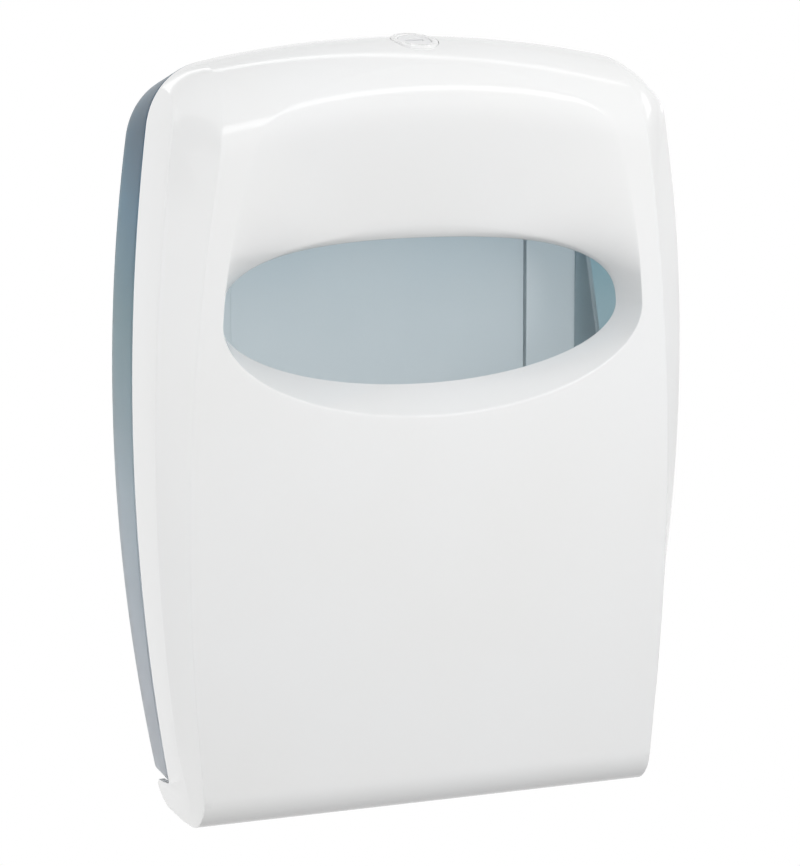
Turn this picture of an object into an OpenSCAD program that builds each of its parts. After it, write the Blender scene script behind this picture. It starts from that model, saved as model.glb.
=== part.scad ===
// Wall dispenser for folded paper seat covers: a drafted back tray, a barrel-sided front cover that
// swings forward on two pins at its foot, and a quarter-turn key lock in the cover's rolled top.
// Millimetres, +Z up, -Y towards the user, wall on the plane y = 0.

/* [Overall] */
// Height from the lower edge to the crown of the top arch
height = 300; // [270:1:330]
// Greatest width, across the belly of the barrel sides
width = 223.5; // [205:0.5:245]
// Height of the screw pattern's centre above the lower edge
mount_height = 150; // [130:1:170]

/* [Outline] */
// Height of the widest line, as a share of the whole height
belly_share = 0.542; // [0.5:0.002:0.58]
// Radius of the barrel-shaped sides, seen from the front
side_arc_r = 830; // [760:5:950]
// Radius of the arch along the top
top_arc_r = 424; // [380:2:520]
// Half width at which the top arch meets its corners
top_edge_x = 83; // [80:0.5:86]
// Height of the outline's corner rounding below the ends of the arch
corner_drop = 23.9; // [22:0.1:26]

/* [Front cover] */
// Wall of the moulded cover
cover_wall = 2.5; // [2:0.1:3]
// Depth of the front face at its lower edge, from the wall
depth_foot = 54.5; // [51:0.5:58]
// Depth of the front face near the top
depth_top = 61.5; // [58:0.5:66]
// Greatest half width of the front face between its two crisp edges
front_half_w = 101.5; // [94:0.5:103]
// Height of the front face's widest line, as a share of the whole height
front_belly_share = 0.38; // [0.35:0.005:0.42]
// Radius of the front face's two side edges, seen from the front
front_arc_r = 891; // [840:1:960]
// Radius of the roll from the front face into the top
top_roll_r = 32; // [28:0.5:34]
// Radius of the roll under the lower edge
foot_roll_r = 14; // [12:0.5:15]
// Depth of the flat side face at mid height and above
side_depth = 49.8; // [47:0.2:52]
// Depth of the flat side face just above the foot
side_depth_foot = 38; // [36:0.5:40]
// Depth of the parting line between cover and tray
seam_depth = 22.6; // [20:0.1:25]

/* [Opening] */
// Distance of the opening's centre below the crown of the top arch
oval_drop = 105; // [104:1:112]
// Half width of the oval opening
oval_half_w = 84; // [76:0.5:85]
// Half height of the oval opening
oval_half_h = 28; // [22:0.5:30]
// Half width of the scooped recess round the opening
recess_half_w = 88.4; // [86:0.2:89.4]
// Reach of the recess above the opening's centre
recess_up = 95.2; // [88:0.2:96]
// Reach of the recess below the opening's centre
recess_down = 39; // [34:0.5:44]
// Depth of the lower lip at the opening's edge
lip_depth = 14; // [10:0.5:16]
// Depth of the scoop at the opening's upper edge
scoop_depth = 18; // [14:0.5:20]

/* [Back tray] */
// Floor and side wall of the tray
tray_wall = 2.4; // [2:0.1:3]
// Height of the tray's lower edge above the cover's lower edge
tray_foot = 12.6; // [12.5:0.1:14]
// How far the tray's side walls lean in towards the wall at the foot
foot_draft = 3.1; // [1:0.1:4]
// How far the tray's top wall leans down towards the wall
top_draft = 6; // [2:0.5:8]
// How far the rebated rim reaches into the cover
rim_reach = 4; // [3:0.1:5]
// Thickness of the rebated rim
rim_wall = 1.8; // [1.5:0.1:2.4]
// Distance across the inner edges of the two raised strips
strip_span = 128; // [110:1:140]
// Width of each raised strip
strip_w = 22; // [14:0.5:24]
// Height of each raised strip above the tray's floor
strip_h = 3; // [2:0.1:4]
// How far the paper guides stand out from the wall
guide_reach = 28; // [22:0.5:32]
// Thickness of each paper guide
guide_wall = 2; // [1.6:0.1:2.6]

/* [Wall screws] */
// Spacing of the screw holes across
screw_span_x = 96; // [70:1:110]
// Spacing of the screw holes up the wall
screw_span_z = 200; // [170:1:210]
// Diameter of a screw hole
screw_hole_d = 5.2; // [4:0.1:6]
// Diameter of the raised seat round a screw hole
screw_seat_d = 16; // [12:0.5:18]
// Height of the raised seat round a screw hole
screw_seat_h = 1.6; // [1:0.1:2.5]

/* [Hinge] */
// Distance of the hinge axis from the wall
hinge_y = 11.2; // [11:0.1:11.6]
// Height of the hinge axis above the lower edge
hinge_z = 8.8; // [8.6:0.1:9]
// Diameter of a hinge pin
pin_d = 2.5; // [2:0.1:3]
// Length of a hinge pin under its head
pin_l = 10.5; // [9:0.1:11]
// Diameter of a hinge pin's head
pin_head_d = 4.4; // [4:0.1:5]
// Thickness of a hinge pin's head
pin_head_h = 1.2; // [0.8:0.1:1.6]
// Diameter of the hinge eyes
eye_d = 5.4; // [5:0.1:5.6]
// Width of a hinge eye on the tray
lug_w = 6; // [5:0.1:7]
// Radial running clearance of a hinge pin in its eye
pin_clearance = 0.05; // [0.02:0.01:0.1]

/* [Lock] */
// Tilt of the lock towards the front
lock_tilt = 14; // [10:1:18]
// Diameter of the lock's bezel
bezel_d = 18.5; // [17:0.1:20]
// Thickness of the bezel
bezel_h = 1; // [0.8:0.1:1.4]
// Diameter of the face that takes the key
plug_face_d = 13.4; // [12.5:0.1:14]
// Diameter of the neck under the bezel
neck_d = 16; // [15.5:0.1:16.5]
// Diameter of the threaded barrel
barrel_d = 12; // [11:0.1:13]
// Length of the barrel under the bezel
barrel_l = 12.5; // [12:0.1:14]
// Diameter of the turning plug inside the barrel
plug_d = 8; // [7.6:0.1:8.4]
// Across flats of the lock's nut
nut_flats = 16; // [15.5:0.1:17]
// Thickness of the nut
nut_h = 4; // [3:0.1:4.5]
// Thickness of the washer under the nut
lock_washer_h = 1; // [0.6:0.1:1.2]
// Thickness of the cam plate
cam_t = 2; // [1.6:0.1:2.4]
// Reach of the cam from the lock's axis
cam_reach = 20; // [19:0.2:21]
// Width of the cam's tongue
cam_w = 9; // [8:0.2:10]
// Length of the cam's turned-down nose
cam_nose = 6; // [5:0.2:7]
// Side of the square that drives the cam
drive_side = 5; // [4.6:0.1:5.2]
// Diameter of the cam screw's thread
cam_screw_d = 3; // [2.5:0.1:3.2]

/* [Fit] */
// Gap between pieces that move past each other
running_gap = 0.3; // [0.2:0.05:0.4]
// Gap between the tray's rim and the inside of the cover
rim_gap = 0.4; // [0.3:0.05:0.6]
// Gap of a piece that is held in its hole
seat_gap = 0.05; // [0.02:0.01:0.1]

/* [Hidden] */
$fn = 64;
half_w = width / 2;
belly_z = belly_share * height;
front_belly_z = front_belly_share * height;
oval_z = height - oval_drop;
white = "white";
smoke = "lightslategray";
steel = "silver";

// Solids that join reach this far into each other, and cutters this far past the face they cut
sink = 1;

// Columns of the cover's grid: half the lower edge, one side's foot, flank and corner, half the top
foot_cols = 10;
flank_low_cols = 14;
flank_high_cols = 7;
flank_cols = flank_low_cols + flank_high_cols;
corner_cols = 12;
side_cols = foot_cols + flank_cols + corner_cols;
lower_cols = 7;
top_cols = 16;

// Sides and top arch of the outline, edge and depth of the front face
function side_x(z) = half_w - pow(z - belly_z, 2) / (2 * side_arc_r);
function front_x(z) = front_half_w - pow(z - front_belly_z, 2) / (2 * front_arc_r);
function top_z(x) = height - x * x / (2 * top_arc_r);
front_curve = 1.4;
function front_depth(z) = depth_foot + (depth_top - depth_foot) * pow(max(z, 0) / height, front_curve);
function lerp(a, b, t) = a + (b - a) * t;
function smooth(t) = t * t * (3 - 2 * t);
function part_of(t, a, b) = min(1, max(0, (t - a) / (b - a)));

// Corner of the outline, moved inwards by e: a conic arc that leaves the arch and the side along their
// tangents, held by its start on the arch, the point where the tangents meet, and its end on the side
corner_z = top_z(top_edge_x) - corner_drop;
corner_round = 0.86;
top_slope = -top_edge_x / top_arc_r;
side_slope = -(corner_z - belly_z) / side_arc_r;
function corner_frame(e) =
    let (a = [top_edge_x - e / 2, top_z(top_edge_x) - e],
         c = [side_x(corner_z) - e, corner_z],
         x = (c[0] + side_slope * (a[1] - top_slope * a[0] - c[1])) / (1 - side_slope * top_slope))
    [a, [x, a[1] + top_slope * (x - a[0])], c];
function corner_point(e, t) =
    let (w = [pow(1 - t, 2), 2 * corner_round * t * (1 - t), t * t])
    w * corner_frame(e) / (w[0] + w[1] + w[2]);
function corner_place(e, axis, value) =
    let (f = corner_frame(e),
         a = f[0][axis] - value,
         b = corner_round * (f[1][axis] - value),
         c = f[2][axis] - value,
         bend = sqrt(max(0, b * b - a * c)))
    min(1, max(0, a / (a - b + (a > c ? bend : -bend))));
function outline_x(z, e) =
    z < corner_z ? side_x(z) - e : corner_point(e, corner_place(e, 1, z))[0];
function outline_z(x, e) =
    abs(x) < top_edge_x - e / 2 ? top_z(x) - e : corner_point(e, corner_place(e, 0, abs(x)))[1];

// Depth of the flat side face, shallower towards the foot
flank_top_z = height - 70;
flank_curve = 1.3;
function side_face(z) =
    let (drop = max(0, flank_top_z - z) / flank_top_z)
    side_depth - (side_depth - side_depth_foot) * pow(drop, flank_curve);

// The front face with its rolls at top and foot, moved inwards by e
function roll_z(x) = top_z(x) - top_roll_r;
function roll_y(x) = front_depth(roll_z(x)) - top_roll_r;
foot_y = front_depth(foot_roll_r) - foot_roll_r;
function arc_out(r, h) = sqrt(max(0, r * r - h * h));
function face_y(x, z, e) =
    z > roll_z(x) ? -roll_y(x) - arc_out(top_roll_r - e, z - roll_z(x))
    : z < foot_roll_r ? -foot_y - arc_out(foot_roll_r - e, foot_roll_r - z)
    : -front_depth(z) + e;

// A closed ring from three half functions: lower edge, right side, top edge, then the mirrored half,
// with the top's columns closest together beside the corner
top_ease = 1.4;
function ring(lower, side, top, nl = lower_cols, ns = side_cols, nt = top_cols) =
    let (half = concat([for (i = [0:nl - 1]) lower(i / nl)],
                       [for (i = [0:ns]) side(i / ns)],
                       [for (i = [1:nt]) top(1 - pow(i / nt, top_ease))]))
    concat(half, [for (i = [len(half) - 2:-1:1]) [-half[i][0], half[i][1], half[i][2]]]);

foot_end = foot_cols / side_cols;
corner_start = (foot_cols + flank_cols) / side_cols;
function corner_part(t) = part_of(t, corner_start, 1);
foot_flank_z = 34;
flank_front_z = height - 62;

// Share of the flank's height at column t, with the columns closest together beside the opening's ends
oval_t = lerp(foot_end, corner_start, flank_low_cols / flank_cols);
oval_share = (oval_z - foot_flank_z) / (flank_front_z - foot_flank_z);
low_ease = 1.6;
high_ease = 1.3;
function flank(t) =
    t < oval_t ? oval_share * (1 - pow(1 - part_of(t, foot_end, oval_t), low_ease))
    : lerp(oval_share, 1, pow(part_of(t, oval_t, corner_start), high_ease));
function front_z(t) =
    t < foot_end ? lerp(foot_roll_r, foot_flank_z, part_of(t, 0, foot_end))
    : t < corner_start ? lerp(foot_flank_z, flank_front_z, flank(t))
    : lerp(flank_front_z, roll_start, corner_part(t) / band_share);

// Crisp edge round the front face: up the flank, then over the top roll to the angle where it fades out
band_top_x = top_edge_x + 1.5;
band_end = 80;
roll_start = roll_z(front_x(height - corner_drop - top_roll_r / 2));
roll_start_x = front_x(roll_start);
band_up = roll_start - flank_front_z;
band_share = band_up / (band_up + top_roll_r * band_end * PI / 180);
function band_angle(t) = band_end * part_of(corner_part(t), band_share, 1);
function roll_point(x, a, e) =
    [x, -roll_y(x) - (top_roll_r - e) * cos(a), roll_z(x) + (top_roll_r - e) * sin(a)];
bevel_share = 0.6;
function front_side(t, e) =
    corner_part(t) > band_share ?
      let (a = band_angle(t))
      roll_point(lerp(roll_start_x, band_top_x, sin(a)) - bevel_share * e, a, e)
    : let (z = front_z(t))
      [front_x(z) - bevel_share * e, -front_depth(z) + e, z];
function front_lower(s, e) =
    [s * (front_x(foot_roll_r) - bevel_share * e), -front_depth(foot_roll_r) + e, foot_roll_r];
function front_top(s, e) = roll_point(s * front_side(1, e)[0], band_end, e);
function front_ring(e) =
    ring(function (s) front_lower(s, e), function (t) front_side(t, e), function (s) front_top(s, e));

// Edge of the flat side face: it leans in a little towards the top, and ends in a rounded tip that
// turns back to the parting line
foot_flat_y = 31.5;
foot_round = 11.5;
side_edge_share = 0.4;
edge_lean_z = 0.4 * height;
edge_lean = [1.3, 2.8];
tip_angle = 36;
function tip_z(e) = corner_z + (corner_drop - e) * sin(tip_angle);
function tip_x(e) = outline_x(tip_z(e), e);
function tip_turn(t) = 90 * corner_part(t);
function corner_rise(t, e) = lerp(corner_z, tip_z(e), sin(tip_turn(t)));
function foot_edge(q, e) =
    q < 0.5 ? [-foot_flat_y - (foot_round - e) * sin(180 * q), foot_round - (foot_round - e) * cos(180 * q)]
    : let (u = 2 * q - 1)
      [lerp(-foot_flat_y - foot_round + e, -side_face(foot_flank_z) + side_edge_share * e, smooth(u)),
       lerp(foot_round, foot_flank_z, u)];
edge_land = 1.5;
function side_edge(t, e) =
    t < foot_end ? let (p = foot_edge(t / foot_end, e)) [side_x(p[1]) - e, p[0], p[1]]
    : t < corner_start ?
      let (z = lerp(foot_flank_z, corner_z, flank(t)), lean = pow(part_of(z, edge_lean_z, corner_z), 2))
      [side_x(z) - e - edge_lean[0] * lean, -side_face(z) + side_edge_share * e + edge_lean[1] * lean, z]
    : let (z = corner_rise(t, e),
           lean = cos(tip_turn(t)),
           front = side_face(corner_z) - side_edge_share * e - edge_lean[1])
      [outline_x(z, e) - edge_lean[0] * lean, -lerp(seam_depth + edge_land, front, lean), z];
function edge_ring(e) =
    ring(function (s) [s * (side_x(0) - e), -foot_flat_y, e],
         function (t) side_edge(t, e),
         function (s) let (x = s * tip_x(e)) [x, -seam_depth - edge_land, outline_z(x, e)]);

// Bevel between the crisp front edge and the side face, k from 0 to 1: rolled under at the foot, flat
// along the flank, and swelling out at the corner until it is the rolled top
bevel_rings = 6;
bevel_last = 0.75;
foot_share = (foot_y - foot_flat_y) / (front_depth(foot_roll_r) - foot_flat_y);
function foot_rolled(a, b, k) =
    let (turn = 90 * min(1, k / bevel_last),
         y = lerp(lerp(b[1], a[1], foot_share), a[1], cos(turn)),
         p = [lerp(a[0], b[0], k), y, lerp(a[2], b[2], sin(turn))])
    lerp(p, b, part_of(k, bevel_last, 1));
function crown(x, y, e) =
    let (r = top_roll_r - e)
    outline_z(x, e) - r + arc_out(r, max(0, -y - roll_y(x)));
corner_bulge = 1.5;
bulge_aim = [0.55, -0.5, 0.67];
function bevel_corner(t, k, e) =
    let (c = corner_part(t),
         end = lerp(front_side(1, e), side_edge(1, e), k),
         swell = smooth(c) * (crown(end[0], end[1], e) - end[2]),
         lift = 90 * band_angle(t) / band_end,
         bulge = corner_bulge * 4 * k * (1 - k) * pow(sin(180 * c), 2))
    lerp(front_side(t, e), side_edge(t, e), k) + swell * [0, -cos(lift), sin(lift)] + bulge * bulge_aim;
function bevel_side(t, k, e) =
    t > corner_start ? bevel_corner(t, k, e)
    : let (a = front_side(t, e), b = side_edge(t, e))
      lerp(lerp(a, b, k), foot_rolled(a, b, k), smooth(1 - part_of(t, 0, foot_end)));
function bevel_top(s, k, e) =
    let (x = s * lerp(front_side(1, e)[0], tip_x(e), k),
         y = lerp(front_top(s, e)[1], -seam_depth - edge_land, k))
    [x, y, crown(x, y, e)];
function bevel_ring(k, e) =
    let (foot = foot_rolled(front_side(0, e), side_edge(0, e), k))
    ring(function (s) [s * foot[0], foot[1], foot[2]],
         function (t) bevel_side(t, k, e),
         function (s) bevel_top(s, k, e));

// Parting line, which runs back round the foot below the tray
foot_back_y = 19;
foot_back_r = 10.8;
foot_back_z = tray_foot - 0.1;
foot_top_z = tray_foot - running_gap;
foot_back_turn = 78;
foot_top_y = hinge_y - 0.6;
foot_step = 1.4;

// Shares of the foot's columns: end of the round back, start and end of the flat top, start of the rise
back_q = 0.4;
top_q = [0.5, 0.7];
rise_q = 0.8;
function foot_seam(q) =
    q < top_q[0] - back_q / 8 ?
      let (a = foot_back_turn * q / back_q - 90)
      [-foot_back_y + foot_back_r * cos(a), foot_back_z + foot_back_r * sin(a)]
    : q < (top_q[1] + rise_q) / 2 ?
      [lerp(-foot_top_y, -seam_depth + foot_step, part_of(q, top_q[0], top_q[1])), foot_top_z]
    : [-seam_depth, lerp(tray_foot + foot_step, foot_flank_z, part_of(q, rise_q, 1))];
function seam_side(t, e) =
    t < foot_end ? let (p = foot_seam(t / foot_end)) [side_x(p[1]) - e, p[0], p[1] + (t == 0 ? e : 0)]
    : t < corner_start ?
      let (z = lerp(foot_flank_z, corner_z, flank(t)))
      [side_x(z) - e, -seam_depth, z]
    : let (z = corner_rise(t, e)) [outline_x(z, e), -seam_depth, z];
function seam_ring(e) =
    ring(function (s) [s * (side_x(foot_seam(0)[1]) - e), foot_seam(0)[0], foot_seam(0)[1] + e],
         function (t) seam_side(t, e),
         function (s) let (x = s * tip_x(e)) [x, -seam_depth, outline_z(x, e)]);

// Recess and opening: ovals met by rays from the opening's centre to each point of the front edge
function oval(phi, a, up, down, n_up) =
    let (n = phi > 0 ? n_up : 2, b = phi > 0 ? up : down)
    1 / pow(pow(abs(cos(phi)) / a, n) + pow(abs(sin(phi)) / b, n), 1 / n);
oval_power = 2.3;
side_grow = 0.85;
lip_grow = 0.45;
rays = [for (p = front_ring(0)) atan2(p[2] - oval_z, p[0])];

// The recess ends in half an ellipse below; above, two leaning bowed sides and a bowed top meet in
// tight corners. A bowed line is met by a ray at this distance, from its reach along one axis
side_lean = 0.05;
side_bow = 0.00215;
top_bow = 0.0038;
corner_power = 30;
function bowed(along, across, reach, lean, bow) =
    let (slope = along + lean * across)
    2 * reach / (slope + sqrt(slope * slope + 4 * bow * across * across * reach));
function recess_reach(phi, half_w, down) =
    phi <= 0 ? oval(phi, half_w, down, down, oval_power)
    : let (side = bowed(abs(cos(phi)), sin(phi), half_w, side_lean, side_bow),
           top = bowed(sin(phi), abs(cos(phi)), recess_up, 0, top_bow))
      side * pow(1 + pow(side / top, corner_power), -1 / corner_power);
function recess_at(phi, e) =
    let (r = recess_reach(phi, recess_half_w + side_grow * e, recess_down + lip_grow * e))
    [r * cos(phi), oval_z + r * sin(phi)];
function oval_at(phi, e) =
    let (r = oval(phi, oval_half_w + side_grow * e, oval_half_h + lip_grow * e,
                  oval_half_h + side_grow * e, oval_power))
    [r * cos(phi), oval_z + r * sin(phi)];
scoop_ease = 0.25;
function dish(phi, u) =
    let (up = max(0, sin(phi)))
    lerp(lip_depth, scoop_depth, up) * pow(u, 1 + scoop_ease * up);
inner_dish = 0.4;
function scoop_ring(u, e) =
    [for (phi = rays)
        let (q = lerp(recess_at(phi, e), oval_at(phi, e), u))
        [q[0], face_y(q[0], q[1], e) + dish(phi, u) - inner_dish * e * u, q[1]]];
function face_ring(v, e) =
    let (outer = front_ring(e))
    [for (i = [0:len(outer) - 1])
        let (q = lerp(recess_at(rays[i], e), [outer[i][0], outer[i][2]], v))
        [q[0], face_y(q[0], q[1], e), q[1]]];

// A closed band of rings: the last joins the first
module loft(rings) {
    n = len(rings[0]);
    m = len(rings);
    points = [for (r = rings) each r];
    faces = [for (j = [0:m - 1]) for (i = [0:n - 1])
        let (near = j * n, far = ((j + 1) % m) * n, next = (i + 1) % n)
        each [[near + i, near + next, far + next], [near + i, far + next, far + i]]];
    polyhedron(points = points, faces = faces, convexity = 8);
}

// Everything is drawn from the lower edge up and then set about the screw pattern's centre
module on_wall() {
    translate([0, 0, -mount_height]) children();
}

module along_x(x0, x1, d) {
    translate([x0, 0, 0]) rotate([0, 90, 0]) cylinder(d = d, h = x1 - x0);
}

module at_hinge() {
    translate([0, -hinge_y, hinge_z]) children();
}

// Hinge places on the right side, from the side face inwards
end_wall_x = side_x(hinge_z) - cover_wall;
boss_l = 3;
boss_x = end_wall_x - boss_l;
lug_x1 = boss_x - running_gap;
lug_x0 = lug_x1 - lug_w;
pin_head_x = lug_x0 - running_gap;
pin_end_x = pin_head_x + pin_l;

// Local places along the lock's axis, measured from the rolled surface of the cover
bezel_z = 0.1;
pad_z = bezel_z - bezel_h;
boss_z = -2 * cover_wall;
barrel_z = pad_z - barrel_l;
plug_recess = 0.3;
plug_face_z = bezel_z - plug_recess;
plug_head_h = 2;
plug_floor = 1;
neck_z = plug_face_z - plug_head_h - plug_floor;
cam_z = barrel_z - running_gap - cam_t;
cam_washer_h = 0.6;
module at_lock() {
    translate([0, -roll_y(0), roll_z(0)]) rotate([lock_tilt, 0, 0]) translate([0, 0, top_roll_r]) children();
}
module disc(z0, z1, d) {
    translate([0, 0, z0]) cylinder(d = d, h = z1 - z0);
}

// Front cover: outer and inner rings from the opening to the parting line and back
scoop_rings = 8;
face_rings = 4;
inner_rings = 4;
pad_d = bezel_d + 0.8;
boss_d = bezel_d + 5;
boss_step = 0.2;
module front_cover() color(white) on_wall() {
    difference() {
        union() {
            loft(concat(
                [for (i = [scoop_rings:-1:1]) scoop_ring(i / scoop_rings, 0)],
                [for (i = [0:face_rings - 1]) face_ring(i / face_rings, 0)],
                [front_ring(0)],
                [for (i = [1:bevel_rings - 1]) bevel_ring(i / bevel_rings, 0)],
                [edge_ring(0), seam_ring(0), seam_ring(cover_wall), edge_ring(cover_wall)],
                [for (i = [bevel_rings - 1:-1:1]) bevel_ring(i / bevel_rings, cover_wall)],
                [front_ring(cover_wall), face_ring(0.5, cover_wall)],
                [for (i = [0:inner_rings]) scoop_ring(i / inner_rings, cover_wall)]));
            for (m = [0, 1]) mirror([m, 0, 0]) at_hinge() along_x(boss_x, end_wall_x + cover_wall / 2, eye_d);
            at_lock() disc(boss_z + sink, pad_z, pad_d);
            at_lock() disc(boss_z, boss_z + cover_wall - boss_step, boss_d);
        }
        for (m = [0, 1]) mirror([m, 0, 0])
            at_hinge() along_x(boss_x - sink, pin_end_x, pin_d + 2 * seat_gap);
        at_lock() disc(boss_z - sink, pad_z + bezel_h, barrel_d + 2 * seat_gap);
        at_lock() disc(neck_z, pad_z + bezel_h, neck_d + 2 * seat_gap);
        at_lock() disc(pad_z, pad_z + 2 * bezel_h, bezel_d + 2 * running_gap);
    }
}

// Tray rings: outline moved in by e, at depth y, leaning in by its share of the draft
draft_top = height - 100;
tray_cols = [4, 24, 8];
function tray_ring(y, e) =
    let (lean = 1 - y / seam_depth, pull = max(0, lean),
         drop = top_draft * pull,
         below = function (z) (draft_top - min(z, draft_top)) / (draft_top - tray_foot),
         draft = function (z) pull * foot_draft * pow(below(z), 2))
    ring(function (s) [s * (side_x(tray_foot) - e - draft(tray_foot)), -y, tray_foot + e],
         function (t)
             t < corner_start ?
             let (z = lerp(tray_foot + e, corner_z - drop, t / corner_start))
             [side_x(z) - e - draft(z), -y, z]
             : let (p = corner_point(e, 1 - corner_part(t)))
             [p[0], -y, p[1] - drop],
         function (s) let (x = s * (top_edge_x - e / 2)) [x, -y, top_z(x) - e - drop],
         tray_cols[0], tray_cols[1], tray_cols[2]);

rim_in = cover_wall + rim_gap;
tray_front = seam_depth - running_gap;
guide_gap = 1;
guide_x = strip_span / 2 + strip_w + guide_gap;
floor_relief = 0.4;
module tray_shell() {
    rim_back = rim_in + rim_wall;
    loft([tray_ring(0, tray_wall), tray_ring(tray_front - rim_reach, tray_wall),
          tray_ring(tray_front - rim_reach / 2, rim_back), tray_ring(tray_front + rim_reach, rim_back),
          tray_ring(tray_front + rim_reach, rim_in), tray_ring(tray_front, rim_in),
          tray_ring(tray_front, 0), tray_ring(0, 0)]);
    translate([0, -floor_relief, 0]) rotate([90, 0, 0]) linear_extrude(tray_wall - floor_relief)
        polygon([for (p = tray_ring(0, tray_wall / 2)) [p[0], p[2]]]);
}

// Raised strips that carry the pack and the guides beside it, cut off on a slope at the top
strip_foot = tray_foot + 20;
strip_top = height - 38;
guide_slope_z = oval_z - 35;
guide_top_z = oval_z + 40;
guide_chamfer = 6;
module pack_rests() {
    sunk = tray_wall / 2;
    for (m = [0, 1]) mirror([m, 0, 0]) {
        translate([strip_span / 2, -tray_wall - strip_h, strip_foot])
            cube([strip_w, strip_h + sunk, strip_top - strip_foot]);
        translate([guide_x, 0, 0]) rotate([90, 0, 90]) linear_extrude(guide_wall)
            polygon([[-sunk, strip_foot], [-guide_reach, strip_foot + guide_chamfer],
                     [-guide_reach, guide_slope_z], [-tray_wall - strip_h, guide_top_z],
                     [-sunk, guide_top_z]]);
    }
}

// Hooked keeper that the cam's nose drops behind
keeper_w = 15;
keeper_t = 2;
keeper_y = 23.5;
keeper_z = height - 25;
keeper_up = 9.5;
module keeper() {
    translate([-keeper_w / 2, 0, 0]) rotate([90, 0, 90]) linear_extrude(keeper_w)
        polygon([[-tray_wall / 2, keeper_z], [-keeper_y, keeper_z], [-keeper_y, keeper_z + keeper_up],
                 [-keeper_y + keeper_t, keeper_z + keeper_up], [-keeper_y + keeper_t, keeper_z + keeper_t],
                 [-tray_wall / 2, keeper_z + keeper_t]]);
}

// Hinge lugs under the tray's lower wall
module tray_lugs() {
    for (m = [0, 1]) mirror([m, 0, 0]) at_hinge() {
        along_x(lug_x0, lug_x1, eye_d);
        translate([lug_x0, -eye_d / 2, 0]) cube([lug_w, eye_d, tray_foot - hinge_z + tray_wall / 2]);
    }
}

lock_notch_w = 40;
lock_notch_h = 20;
module back_tray() color(smoke) on_wall() {
    difference() {
        union() {
            tray_shell();
            pack_rests();
            keeper();
            tray_lugs();
            for (x = [-1, 1], z = [-1, 1])
                translate([x * screw_span_x / 2, 0, mount_height + z * screw_span_z / 2])
                    rotate([90, 0, 0]) cylinder(d = screw_seat_d, h = tray_wall + screw_seat_h);
        }
        for (x = [-1, 1], z = [-1, 1])
            translate([x * screw_span_x / 2, sink, mount_height + z * screw_span_z / 2])
                rotate([90, 0, 0]) cylinder(d = screw_hole_d, h = tray_wall + screw_seat_h + 2 * sink);
        for (m = [0, 1]) mirror([m, 0, 0])
            at_hinge() along_x(lug_x0 - sink, lug_x1 + sink, pin_d + 2 * pin_clearance);
        translate([-lock_notch_w / 2, -tray_front - rim_reach - sink, height - lock_notch_h])
            cube([lock_notch_w, rim_reach + sink, lock_notch_h]);
    }
}

// Headed hinge pin, pushed outwards through the lug into the cover's blind eye
module hinge_pin() {
    at_hinge() {
        along_x(pin_head_x - pin_head_h, pin_head_x, pin_head_d);
        along_x(pin_head_x - pin_head_h / 2, pin_end_x, pin_d);
    }
}
module hinge_pin_right() color(steel) on_wall() hinge_pin();
module hinge_pin_left() color(steel) on_wall() mirror([1, 0, 0]) hinge_pin();

// Lock body: bezel and threaded barrel, bored for the plug
module lock_body() color(white) on_wall() at_lock() {
    difference() {
        union() {
            disc(pad_z, bezel_z, bezel_d);
            disc(neck_z, pad_z + bezel_h / 2, neck_d);
            disc(barrel_z, neck_z + plug_floor / 2, barrel_d);
        }
        disc(plug_face_z - plug_head_h, bezel_z + sink, plug_face_d + 2 * pin_clearance);
        disc(barrel_z - sink, bezel_z, plug_d + 2 * pin_clearance);
    }
}

module lock_washer() color(steel) on_wall() at_lock() {
    difference() {
        disc(boss_z - lock_washer_h, boss_z, nut_flats);
        disc(boss_z - lock_washer_h - sink, boss_z + sink, barrel_d + 2 * seat_gap);
    }
}

module lock_nut() color(steel) on_wall() at_lock() {
    difference() {
        translate([0, 0, boss_z - lock_washer_h - nut_h])
            cylinder(d = nut_flats / cos(30), h = nut_h, $fn = 6);
        disc(boss_z - lock_washer_h - nut_h - sink, boss_z, barrel_d + 2 * seat_gap);
    }
}

// Plug: face with the key slot, plain shaft and the square that drives the cam
key_slot_l = 7.6;
key_slot_w = 1.8;
key_slot_depth = 6;
thread_l = 5.5;
module lock_plug() color("gainsboro") on_wall() at_lock() {
    difference() {
        union() {
            disc(plug_face_z - plug_head_h, plug_face_z, plug_face_d);
            disc(barrel_z - running_gap, plug_face_z - plug_head_h / 2, plug_d);
            translate([-drive_side / 2, -drive_side / 2, cam_z]) cube([drive_side, drive_side, cam_t + sink]);
        }
        translate([-key_slot_l / 2, -key_slot_w / 2, plug_face_z - key_slot_depth])
            cube([key_slot_l, key_slot_w, key_slot_depth + sink]);
        disc(cam_z - sink, cam_z + thread_l + sink / 2, cam_screw_d + 2 * seat_gap);
    }
}

// Cam: tongue with a turned-down nose, drawn in its free position to the right
module lock_cam() color(steel) on_wall() at_lock() {
    hub_d = 1.22 * cam_w;
    hole = drive_side + 2 * seat_gap;
    difference() {
        union() {
            disc(cam_z, cam_z + cam_t, hub_d);
            translate([0, -cam_w / 2, cam_z]) cube([cam_reach, cam_w, cam_t]);
            translate([cam_reach - cam_t, -cam_w / 2, cam_z - cam_nose])
                cube([cam_t, cam_w, cam_nose + cam_t / 2]);
        }
        translate([-hole / 2, -hole / 2, cam_z - sink]) cube([hole, hole, cam_t + 2 * sink]);
    }
}

cam_washer_d = 2.9 * cam_screw_d;
module cam_washer() color(steel) on_wall() at_lock() {
    difference() {
        disc(cam_z - cam_washer_h, cam_z, cam_washer_d);
        disc(cam_z - cam_washer_h - sink, cam_z + sink, cam_screw_d + 2 * seat_gap);
    }
}

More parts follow.
